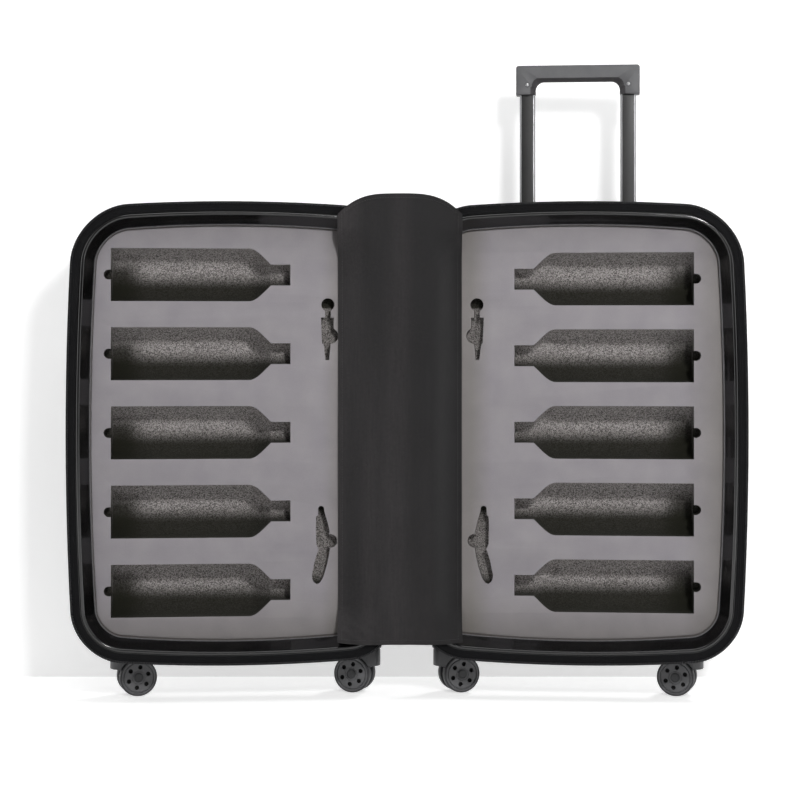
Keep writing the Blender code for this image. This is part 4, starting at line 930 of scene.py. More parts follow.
@dataclass
class Half:
    """One half of the case: its sizes, its smooth outline and its place in the world."""

    side: Side
    width: float = 0.545
    height: float = 0.750
    depth: float = 0.150
    wall: float = 0.0024
    bulge: float = 0.012
    top_corner: float = 0.088
    bottom_corner: float = 0.077
    bottom_up: float = 0.062
    hinge_lead: float = 0.0045
    hinge_gap: float = 0.005
    hinge_y: float = -0.0519984
    yaw: float = math.radians(5)
    corner_steps: int = 16
    side_steps: int = 12

    @property
    def key(self) -> str:
        """The half's name in the solids."""
        return "rear" if self.side is Side.REAR else "front"

    @property
    def body(self) -> str:
        """The body that the half is."""
        return f"{self.key}_half"

    @property
    def centre(self) -> float:
        """The middle of the half, across."""
        return self.hinge_gap + self.width / 2

    @property
    def outer(self) -> float:
        """The outer side of the half, across."""
        return self.hinge_gap + self.width

    @property
    def middle_up(self) -> float:
        """The middle height."""
        return self.bottom_up + self.height / 2

    @property
    def top_up(self) -> float:
        """The height of the shell's top."""
        return self.bottom_up + self.height

    @property
    def axis_matrix(self) -> Matrix:
        """The half's own turn about the hinge, without mirroring."""
        turn = Matrix.Rotation(-self.side.value * self.yaw, 4, "Z")
        return Matrix.Translation((0, self.hinge_y, 0)) @ turn

    @property
    def matrix(self) -> Matrix:
        """From (across, deep, up) to the world; the front half is mirrored."""
        shape = Matrix.Diagonal((self.side.value, 1, 1, 1))
        return self.axis_matrix @ Matrix.Translation((0, self.hinge_lead, 0)) @ shape

    def spot(self, across: float, deep: float, up: float) -> Vector:
        """A point of the half in its unmirrored frame, for `axis_matrix`."""
        return Vector((self.side.value * across, self.hinge_lead + deep, up))

    def outline(self, inset: float) -> list[Flat]:
        """The half's outline drawn in by an inset.

        Args:
            inset: How far it is drawn in.

        Returns:
            Points (across, up) round all four corners, the same number for every inset.
        """
        half_width = self.width / 2 - self.bulge - inset
        half_height = self.height / 2 - self.bulge - inset
        top, bottom = self.top_corner - inset, self.bottom_corner - inset
        corners = (
            (half_width - bottom, bottom - half_height, bottom, -math.pi / 2),
            (half_width - top, half_height - top, top, 0.0),
            (top - half_width, half_height - top, top, math.pi / 2),
            (bottom - half_width, bottom - half_height, bottom, math.pi),
        )
        arcs = []
        for x, z, radius, start in corners:
            angles = [start + step * math.pi / 2 / self.corner_steps for step in range(self.corner_steps + 1)]
            arcs.append([Vector((x + radius * math.cos(a), z + radius * math.sin(a))) for a in angles])
        points = []
        for index, run in enumerate(arcs):
            following = arcs[(index + 1) % 4][0]
            points += run
            points += [run[-1].lerp(following, step / self.side_steps) for step in range(1, self.side_steps)]
        return [
            (
                self.centre + x + self.bulge * x / half_width * (1 - (z / half_height) ** 2),
                self.middle_up + z + self.bulge * z / half_height * (1 - (x / half_width) ** 2),
            )
            for x, z in points
        ]

    def ring(self, inset: float, deep: float) -> list[Point]:
        """The outline at a depth, as points of the half's frame."""
        return [(x, deep, z) for x, z in self.outline(inset)]

    def swept(self, name: str, profile: Sequence[Flat]) -> Bench:
        """A closed section (inset, deep) carried round the outline."""
        return Bench.rings(name, [self.ring(inset, deep) for inset, deep in profile], around=True)

    def path(self, inset: float, deep: float, pitch: float) -> list[tuple[Vector, Vector]]:
        """Evenly spaced places round the outline.

        Args:
            inset: How far in the path runs.
            deep: Its depth.
            pitch: About how far apart the places are.

        Returns:
            Places and their directions, in the half's frame.
        """
        points = [Vector(point) for point in self.ring(inset, deep)]
        points.append(points[0])
        lengths = np.array([0.0, *[(b - a).length for a, b in zip(points, points[1:])]]).cumsum()
        count = round(lengths[-1] / pitch)
        found = []
        for index in range(count):
            at = lengths[-1] * index / count
            piece = min(int(np.searchsorted(lengths, at, side="right")) - 1, len(points) - 2)
            share = (at - lengths[piece]) / (lengths[piece + 1] - lengths[piece])
            step = points[piece + 1] - points[piece]
            found.append((points[piece] + step * share, step.normalized()))
        return found


def arc(centre: Flat, radius: float, start: float, end: float, steps: int) -> list[Flat]:
    """Points on an arc, both ends included, with its angles in degrees."""
    angles = [math.radians(start + (end - start) * step / steps) for step in range(steps + 1)]
    return [(centre[0] + radius * math.cos(a), centre[1] + radius * math.sin(a)) for a in angles]


def eased(share: float) -> float:
    """0 to 1 with flat ends."""
    share = min(max(share, 0.0), 1.0)
    return share * share * (3 - 2 * share)


# Shells and mouths


@dataclass
class Shell:
    """A vacuum-formed shell with pressed ribs, wheel wells and the openings for what is let into it."""

    half: Half
    back_rounding: float = 0.028
    rib_count: int = 7
    rib_pitch: float = 0.060
    rib_width: float = 0.018
    rib_rise: float = 0.0025
    rib_root: float = 0.0015
    rib_length: float = 0.560
    rib_shortening: float = 0.018
    well_radius: float = 0.0243
    gap: float = 0.0003

    def build(self, wardrobe: Wardrobe) -> None:
        """Model the shell and dress it.

        Args:
            wardrobe: The finishes.
        """
        half = self.half
        rings = [half.ring(0, deep) for deep in (0, 0.03, 0.06, 0.09, half.depth - self.back_rounding)]
        for step in range(1, 11):
            angle = step * math.pi / 20
            inset = self.back_rounding * (1 - math.cos(angle))
            rings.append(half.ring(inset, half.depth - self.back_rounding * (1 - math.sin(angle))))
        bench = Bench.rings(f"{half.key}_shell_skin", rings).fill(rings[-1])
        bench.face_outwards()
        shape = bmesh.from_edit_mesh(bench.item.data)
        back = max(shape.faces, key=lambda face: face.calc_center_median().y)
        if back.normal.y < 0:
            bpy.ops.mesh.flip_normals()
        bench.modify("SOLIDIFY", thickness=half.wall, offset=-1, use_even_offset=True)
        bench.combine(*self._ribs(), how="UNION")
        bench.combine(*self._openings())
        wardrobe.dress(bench.place(half.matrix, angle=30), "shell", half.body, f"{half.key}_shell")

    def _ribs(self) -> list[Bench]:
        """The ribs on the back, each a bar with rounded edges.

        Returns:
            The ribs.
        """
        half, ribs = self.half, []
        middle = (self.rib_count - 1) / 2
        for index in range(self.rib_count):
            place = index - middle
            length = self.rib_length - abs(place) * self.rib_shortening
            deep = half.depth + (self.rib_rise - self.rib_root) / 2
            size = (self.rib_width, self.rib_rise + self.rib_root, length)
            bench = Bench.cube("rib", size, (half.centre + place * self.rib_pitch, deep, half.middle_up))
            bench.pick(Pick.EDGES, lambda a, b: abs(a.y - b.y) > MM).bevel(self.rib_width * 0.42, 6)
            top = half.depth + self.rib_rise - 0.1 * MM
            bench.pick(Pick.EDGES, lambda a, b, top=top: min(a.y, b.y) > top).bevel(self.rib_rise * 0.8, 4)
            ribs.append(bench)
        return ribs

    def _openings(self) -> list[Bench]:
        """The wheel wells, and the openings for the lock or for the handles and the trolley's tray.

        Returns:
            The bodies to cut out.
        """
        half, gap = self.half, 2 * self.gap
        if half.side is Side.FRONT:
            height, width, depth = Lock.size
            places = [((2 * depth, width + gap, height + gap), (half.outer, Lock.deep, half.middle_up))]
        else:
            (length, width, depth), tray = CarryHandle.cup, Trolley.tray
            places = [
                ((length + gap, width + gap, 2 * depth), (half.centre, TOP_HANDLE_DEEP, half.top_up)),
                ((2 * depth, width + gap, length + gap), (half.outer, SIDE_HANDLE_DEEP, half.middle_up)),
                ((tray[0] + gap, tray[1] + gap, 2 * tray[2]), (half.centre, Trolley.deep, half.top_up)),
            ]
        wells = [(across, Caster.deep, half.bottom_up - 0.01) for across, _ in CASTERS.values()]
        tools = [Bench.rod("well", self.well_radius, 0.10, place) for place in wells]
        return tools + [Bench.cube("opening", size, place) for size, place in places]


@dataclass
class Mouth:
    """What runs round a half's mouth: rim frame, zip tape with its teeth, lining band and piping.

    The swept sections are (inset, depth) in millimetres.
    """

    half: Half
    frame_profile: tuple[Flat, ...] = (
        (2.7, 0), (9.0, 0), (14.7, 0), (15.0, -0.5), (15.4, -1.6), (16.2, -2.5), (17.4, -3.05), (18.8, -3.2),
        (20.0, -2.8), (21.0, -1.8), (22.4, 0.6), (25.6, 5.6), (29.0, 10.8), (32.2, 15.4), (33.8, 17.4),
        (34.7, 18.6), (35.0, 19.5), (34.2, 20.6), (32.85, 20.97), (17.35, 2.6), (2.7, 2.6),
    )
    tape_profile: tuple[Flat, ...] = (
        (-1.0, -0.3), (-1.0, -1.2), (-0.7, -1.45), (3.4, -1.45), (4.6, -1.25), (5.0, -1.6), (5.6, -1.6),
        (6.0, -1.25), (7.6, -1.25), (8.0, -1.6), (8.6, -1.6), (9.0, -1.25), (10.6, -1.25), (11.0, -1.6),
        (11.6, -1.6), (12.0, -1.25), (13.6, -1.25), (14.0, -1.0), (14.0, -0.3),
    )
    lining_profile: tuple[Flat, ...] = (
        (35.0, 21.3), (36.6, 23.6), (37.5, 25.4), (37.7, 27.0), (37.7, 36.0), (37.7, 45.0), (36.9, 45.0),
        (36.9, 36.0), (36.9, 27.2), (36.7, 26.0), (35.9, 24.4), (34.3, 22.1),
    )
    tooth_pitch: float = 0.0026
    tooth_inset: float = 0.0009
    tooth_deep: float = -0.0024
    piping_radius: float = 1.0
    piping_place: Flat = (35.7, 19.9)

    def build(self, wardrobe: Wardrobe) -> None:
        """Model and dress everything round the mouth.

        Args:
            wardrobe: The finishes.
        """
        key, body = self.half.key, self.half.body
        wardrobe.dress(self._sweep(f"{key}_rim_trim", self.frame_profile), "rim", body, f"{key}_rim_frame")
        wardrobe.dress(self._sweep(f"{key}_zip_band", self.tape_profile), "zip_tape", body, f"{key}_zip_tape")
        wardrobe.dress(self._sweep(f"{key}_lining_band", self.lining_profile), "lining", body, f"{key}_lining")
        cord = arc(self.piping_place, self.piping_radius, 0, 315, 7)
        wardrobe.dress(self._sweep(f"{key}_lining_piping", cord), "piping", body)
        wardrobe.dress(self._teeth(), "teeth", body)

    def _sweep(self, name: str, profile: Sequence[Flat]) -> bpy.types.Object:
        """A section in millimetres carried round the mouth."""
        bench = self.half.swept(name, [(inset * MM, deep * MM) for inset, deep in profile])
        return bench.place(self.half.matrix, angle=38)

    def _teeth(self) -> bpy.types.Object:
        """The row of zip teeth: one modelled, then copied along the tape's outer edge.

        Returns:
            The finished object.
        """
        bench = Bench.cube("tooth", (1.5 * MM, 2.6 * MM, 1.8 * MM))
        bench.pick(Pick.FACES, lambda c, n: n.y < -0.9).extrude((0, -0.7 * MM, 0))
        bench.resize((1.3, 1, 1.1), (0, -2.0 * MM, 0))
        bench.round_above(0.5 * MM, 0.35 * MM, 1)
        model = bench.place(Matrix.Identity(4))
        places = []
        for place, along in self.half.path(self.tooth_inset, self.tooth_deep, self.tooth_pitch):
            out = Vector((along.z, 0, -along.x))
            columns = Matrix((along, -out, Vector((0, -1, 0)))).transposed()
            places.append(self.half.matrix @ Matrix.Translation(place) @ columns.to_4x4())
        return many(f"{self.half.key}_zip_teeth", model, places)


# Foam inserts


@dataclass
class Insert:
    """The foam insert of a half: a grey face sheet over a charcoal core with bottle cavities."""

    half: Half
    inset: float = 0.038
    face_deep: float = 0.027
    face_thickness: float = 0.003
    face_edge: float = 0.0006
    core_gap: float = 0.0003
    bottle_count: int = 5
    base_across: float = 0.473
    shift: float = 0.0075
    body_length: float = 0.224
    shoulder_length: float = 0.036
    bottle_length: float = 0.2915
    body_radius: float = 0.043
    neck_radius: float = 0.017
    axis_depth: float = 0.024
    notch_radius: float = 0.008
    notch_out: float = 0.0035
    notch_depth: float = 0.040
    recess_depth: float = 0.022
    groove: Point = (0.032, 0.060, 0.75)
    groove_deep: float = 0.130
    # heights that bound the painted shade in the two small recesses
    tail_up: float = 0.208
    head_up: float = 0.302
    ball_up: float = 0.636
    body_shares: tuple[float, ...] = (0, 0.03, 0.06, 0.10, 0.14, 0.18, 0.23, 0.29, 0.36, 0.6, 1)
    shaded_end: float = 0.062

    @property
    def pitch(self) -> float:
        """The distance from one bottle to the next."""
        return 0.1254 if self.half.side is Side.REAR else 0.1288

    @property
    def heights(self) -> list[float]:
        """The heights of the bottles' axes, from the lowest."""
        middle = (self.bottle_count - 1) / 2
        return [self.half.middle_up + (index - middle) * self.pitch for index in range(self.bottle_count)]

    def shifted(self, points: Iterable[Flat]) -> list[Flat]:
        """Cut-out points moved to where this half has them."""
        return [(across - self.half.side.value * self.shift, other) for across, other in points]

    def stations(self) -> list[Flat]:
        """Where a bottle lies along its length: (across, radius), from the base to the mouth.

        Returns:
            The stations, in the half's frame.
        """
        shoulder = self.base_across - self.body_length
        stations = [(self.base_across - share * self.body_length, self.body_radius) for share in self.body_shares]
        for step in range(1, 16):
            share = step / 16
            swell = 0.65 * (1 - share**2) + 0.35 * (1 + math.cos(math.pi * share)) / 2
            radius = self.neck_radius + (self.body_radius - self.neck_radius) * swell
            stations.append((shoulder - self.shoulder_length * share, radius))
        neck = shoulder - self.shoulder_length
        stations += [(neck, self.neck_radius), (self.base_across - self.bottle_length, self.neck_radius)]
        return self.shifted(stations)

    def bottle_loop(self, up: float) -> list[Flat]:
        """The cut-out of one bottle in the face sheet, with the finger notch at its base.

        Args:
            up: The height of its axis.

        Returns:
            The loop, across and up.
        """
        stations = self.stations()
        base = stations[0][0]
        low = [(across, up - radius) for across, radius in stations]
        high = [(across, up + radius) for across, radius in reversed(stations)]
        notch = arc((base + self.notch_out, up), self.notch_radius, 90, -90, 12)
        return low + high + [(base, up + self.notch_radius), *notch, (base, up - self.notch_radius)]

    def stopper_loop(self) -> list[Flat]:
        """The stopper's recess: ball, stem, collar with a thumb hollow, tapered tip.

        Returns:
            The loop, across and up.
        """
        across, up, ball, stem, thumb = 0.120, 0.646, 0.0106, 0.0092, 0.0128
        collar_up, collar_end, tip_end = up - 0.0212, up - 0.0640, up - 0.0905
        angle = math.degrees(math.asin(stem / 2 / ball))
        loop = arc((across, up), ball, -90 + angle, 270 - angle, 24)
        loop += [(across - stem / 2, collar_up), (across - 0.0093, collar_up)]
        loop += arc((across - 0.0046, up - 0.0512), thumb, 112, 262, 16)
        loop += [(across - 0.0044, collar_end), (across - 0.0020, tip_end), (across + 0.0037, tip_end)]
        loop += [(across + 0.0070, collar_end), (across + 0.0095, collar_end), (across + 0.0111, collar_up)]
        return self.shifted([*loop, (across + stem / 2, collar_up)])

    def opener_loop(self) -> list[Flat]:
        """The corkscrew's recess: round head, body with a thumb hollow, curved tail.

        Returns:
            The loop, across and up.
        """
        across, top, length, head, thumb = 0.131, 0.316, 0.128, 0.0048, 0.0112
        inner_shares = ((-0.040, 0.07), (-0.085, 0.22), (-0.108, 0.33))
        tail_shares = (
            (-0.112, 0.545), (-0.098, 0.64), (-0.070, 0.77), (-0.040, 0.87), (-0.010, 0.945), (0.025, 0.990),
            (0.060, 1.0), (0.095, 0.975), (0.115, 0.93), (0.118, 0.88), (0.102, 0.80), (0.078, 0.69), (0.050, 0.60),
            (0.028, 0.555), (0.046, 0.525), (0.062, 0.485), (0.066, 0.30), (0.064, 0.135), (0.038, 0.118),
        )
        loop = arc((across, top - head), head, 0, 180, 12)
        loop += [(across + out * length, top - down * length) for out, down in inner_shares]
        loop += arc((across - 0.118 * length, top - 0.450 * length), thumb, 75, 285, 16)
        loop += [(across + out * length, top - down * length) for out, down in tail_shares]
        return self.shifted(loop)

    def build(self, wardrobe: Wardrobe) -> None:
        """Model and dress the face sheet and the core.

        Args:
            wardrobe: The finishes.
        """
        half, key = self.half, self.half.key
        small = [self.stopper_loop(), self.opener_loop()]
        cut_outs = [self.bottle_loop(up) for up in self.heights] + small
        loops = [half.outline(self.inset), *cut_outs]
        bench = Bench.plate(f"{key}_foam_sheet", loops, self.face_thickness, self.face_edge, 2)
        lift = Matrix.Translation((0, self.face_deep + self.face_thickness / 2, 0))
        face = bench.place(half.matrix @ lift, angle=30)
        wardrobe.dress(face, "foam_face", half.body, f"{key}_foam_face")

        front = self.face_deep + self.face_thickness + self.core_gap
        back = half.depth - half.wall - self.core_gap
        bench = Bench.rings(f"{key}_foam_block", [half.ring(self.inset, d) for d in (front, back)], caps=True)
        bench.combine(*self._cavities(small))
        core = bench.place(half.matrix, angle=30)
        self._shade_hollows(core)
        wardrobe.dress(core, "foam_core", half.body, f"{key}_foam_core")

    def _shade_hollows(self, core: bpy.types.Object) -> None:
        """Store the painted shade of the cavities, where their grain gives way to a smooth dark tone: along their
        lower walls and at their base ends.

        Args:
            core: The finished core.
        """
        turn, base = self.half.matrix.inverted(), self.stations()[0][0]
        values = []
        for vertex in core.data.vertices:
            place = turn @ vertex.co
            fall = min((up - place.z for up in self.heights), key=abs) / self.body_radius
            lower = eased((fall + 0.25) / 0.75)
            end = eased((self.shaded_end - (base - place.x)) / (0.7 * self.shaded_end)) * eased((fall + 0.85) / 0.8)
            # painted shade in the small recesses: at least half shaded, darker at the corkscrew's tail and head and at
            # the stopper's ball
            if place.x < base - self.bottle_length - MM:
                tail, heads = eased((self.tail_up - place.z) / 0.02), eased((place.z - self.head_up) / 0.005)
                ball = eased((place.z - self.ball_up) / 0.006)
                lower, end = max(0.5, tail, heads if place.z < self.half.middle_up else ball), 0
            values.append(1 - (1 - 0.95 * lower) * (1 - 0.9 * end))
        shade = core.data.attributes.new(PAINTED_HOLLOW_SHADE, "FLOAT", "POINT")
        shade.data.foreach_set("value", values)

    def _cavities(self, small: Sequence[Sequence[Flat]]) -> list[Bench]:
        """What is taken out of the block: bottles, notches, the two small recesses, the tubes' grooves.

        Args:
            small: The outlines of the two small recesses.

        Returns:
            The bodies to cut out.
        """
        tools = []
        base = self.stations()[0][0]
        axis = self.face_deep + self.axis_depth
        start = self.face_deep - MM
        for up in self.heights:
            rings = []
            for across, radius in self.stations():
                bottom = arc((0, 0), radius, 0, 180, 24)
                section = [(up + radius, start), *[(up + x, axis + y) for x, y in bottom], (up - radius, start)]
                rings.append([(across, deep, z) for z, deep in section])
            tools.append(Bench.rings("bottle", rings, caps=True))
            place = (base + self.notch_out, start + self.notch_depth / 2, up)
            tools.append(Bench.rod("notch", self.notch_radius, self.notch_depth, place, "Y", steps=24))
        for loop in small:
            bench = Bench.plate("recess", [loop], self.recess_depth)
            bench.pick(Pick.VERTS, lambda co: True)
            bpy.ops.transform.translate(value=(0, self.face_deep + self.recess_depth / 2, 0))
            tools.append(bench)
        if self.half.side is Side.REAR:
            for way in (-1, 1):
                across = self.half.centre + way * Trolley.pitch / 2
                tools.append(Bench.cube("groove", self.groove, (across, self.groove_deep, self.half.middle_up)))
        return tools


# The fabric over the hinge


@dataclass
class Spine:
    """The wide woven cover in front of the hinge, its hem and stitches, and the hinge tape behind it."""

    half: Half
    left: float = 0.113
    right: float = 0.090
    top_up: float = 0.827
    bottom_up: float = 0.092
    top_drop: float = 0.035
    bottom_rise: float = 0.005
    front: float = 0.0085
    thickness: float = 0.0012
    clearance: float = 0.0004
    flat_half_width: float = 0.030
    lift_length: float = 0.055
    valley: float = 0.003
    valley_across: float = -0.026
    valley_width: float = 0.016
    hem_width: float = 0.0085
    hem_rise: float = 0.0006
    stitch_pitch: float = 0.0042
    stitch_margin: float = 0.0016
    tape_half_width: float = 0.020
    tape_end: float = 0.098
    tape_lead: float = 0.0045
    blend_half_width: float = 0.012

    def height_range(self, x_share: float) -> Flat:
        """The lowest and highest points of the cover at a share of its width.

        Args:
            x_share: The share of the width, from the left.

        Returns:
            The lowest and the highest point.
        """
        swing = abs(2 * x_share - 1)
        top = self.top_up - self.top_drop * swing**3.2
        return self.bottom_up + self.bottom_rise * swing**4, top

    def surface(self, x_share: float, up_share: float, proud: float = 0.0) -> Point:
        """A point on the middle of the cover.

        Args:
            x_share: From 0 at the left edge to 1 at the right one.
            up_share: From 0 at the bottom to 1 at the top.
            proud: How far in front of the cloth's middle the point lies.

        Returns:
            The point in the world's frame.
        """
        x = -self.left + (self.left + self.right) * x_share
        bottom, top = self.height_range(x_share)
        up = bottom + (top - bottom) * up_share
        reach = self.left if x < 0 else self.right
        falling = eased((abs(x) - self.flat_half_width) / (reach - self.flat_half_width))
        front = self.thickness / 2 + self.clearance - self.front
        rest = Insert.face_deep - self.thickness - front
        high_start = self.half.top_up - Insert.inset - self.lift_length
        low_end = self.half.bottom_up + Insert.inset + self.lift_length
        lift = max(eased((up - high_start) / self.lift_length), eased((low_end - up) / self.lift_length))
        deep = front + rest * falling * (1 - lift)
        valley = math.exp(-(((x - self.valley_across) / self.valley_width) ** 2))
        deep -= self.valley * (1 - valley) * (1 - falling)
        deep += self._folds(x, up) * (1 - 0.6 * lift)
        width = self.left + self.right
        edge = min(x_share * width, (1 - x_share) * width, top - up, up - bottom)
        deep -= self.hem_rise * (1 - eased((edge - self.hem_width + MM) / MM)) + proud
        yaw = -self.half.yaw * math.copysign(1, x)
        turned = Matrix.Rotation(yaw, 2) @ Vector((x, self.half.hinge_lead + deep))
        return (x, turned.y + self.half.hinge_y, up)

    @staticmethod
    def _folds(x: float, up: float) -> float:
        """Soft standing folds down the cloth, and small creases near its lower left corner.

        Args:
            x: The way across from the hinge.
            up: The height.

        Returns:
            How far back the cloth lies.
        """
        long_fold = 0.0019 * math.sin(x * 95 + 1.2 * math.sin(up * 5.1)) * eased((0.10 - abs(x)) / 0.05)
        slow = 0.0006 * math.sin(up * 17 + x * 21)
        corner = math.exp(-(((x + 0.085) / 0.032) ** 2) - ((up - 0.105) / 0.026) ** 2)
        crease = 0.0030 * corner * math.sin((x * 0.6 + up) * 330)
        top = math.exp(-(((up - 0.79) / 0.03) ** 2))
        ruffle = 0.0018 * top * math.sin(x * 120 + 0.7)
        return long_fold + slow + crease + ruffle

    def build(self, wardrobe: Wardrobe) -> None:
        """Model and dress the cover, its stitches and the tape.

        Args:
            wardrobe: The finishes.
        """
        bench = Bench.sheet("spine_panel", 116, 300, self.surface)
        bench.modify("SOLIDIFY", thickness=self.thickness, offset=0, use_even_offset=False)
        cover = bench.place(Matrix.Identity(4), angle=60)
        wardrobe.dress(cover, "spine", node="spine_cover")
        stitches = self._stitches()
        wardrobe.dress(stitches, "thread")
        tape = self._tape()
        wardrobe.dress(tape, "spine", node="hinge_tape")
        start, end = ((way * self.blend_half_width, self.half.hinge_y, self.half.middle_up) for way in (1, -1))
        for item in (cover, stitches, tape):
            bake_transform(item)
            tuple(start)
            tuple(end)

    def _stitches(self) -> bpy.types.Object:
        """Short stitches along the inner edge of the hem, on all four sides.

        Returns:
            The finished object.
        """
        bench = Bench.rod("stitch", 0.00028, 0.0028, axis="X", steps=6)
        bench.pick(Pick.VERTS, lambda co: abs(co.x) > MM).resize((1, 0.6, 0.6), (0, 0, 0))
        model = bench.place(Matrix.Identity(4))
        places = []
        width = self.left + self.right
        offset = self.hem_width - self.stitch_margin
        for x_share in (offset / width, 1 - offset / width):
            bottom, top = self.height_range(x_share)
            count = round((top - bottom - 2 * offset) / self.stitch_pitch)
            for index in range(count):
                share = (offset + (top - bottom - 2 * offset) * index / count) / (top - bottom)
                places.append((x_share, share, x_share, share + 0.001))
        count = round((width - 2 * offset) / self.stitch_pitch)
        for index in range(count):
            x_share = (offset + (width - 2 * offset) * index / count) / width
            bottom, top = self.height_range(x_share)
            for share in (offset / (top - bottom), 1 - offset / (top - bottom)):
                step = 0.002
                near, far = self.height_range(x_share + step)
                other = offset / (far - near) if share < 0.5 else 1 - offset / (far - near)
                places.append((x_share, share, x_share + step, other))
        matrices = []
        for x0, u0, x1, u1 in places:
            start = Vector(self.surface(x0, u0, self.thickness / 2))
            along = (Vector(self.surface(x1, u1, self.thickness / 2)) - start).normalized()
            out = Vector((0, -1, 0))
            side = out.cross(along).normalized()
            columns = Matrix((along, side, along.cross(side))).transposed()
            matrices.append(Matrix.Translation(start) @ columns.to_4x4())
        return many("spine_stitches", model, matrices)

    def _tape(self) -> bpy.types.Object:
        """The tape that joins the two zips at the hinge, bent over it.

        Returns:
            The finished object.
        """
        half = self.half
        back = half.hinge_lead - self.tape_lead
        length = half.height - 2 * self.tape_end

        def bent(x_share: float, up_share: float) -> Point:
            """A point on the middle of the tape.

            Args:
                x_share: The share of the tape's width.
                up_share: The share of its length.

            Returns:
                The point in the world's frame.
            """
            x = self.tape_half_width * (2 * x_share - 1)
            drop = abs(x) * math.tan(half.yaw)
            ripple = 0.00012 * math.sin(up_share * 60)
            return (x, half.hinge_y + back - drop + ripple, half.middle_up + length * (up_share - 0.5))

        bench = Bench.sheet("hinge_band", 16, 90, bent)
        bench.modify("SOLIDIFY", thickness=0.0008, offset=0)
        return bench.place(Matrix.Identity(4), angle=60)


# The trolley


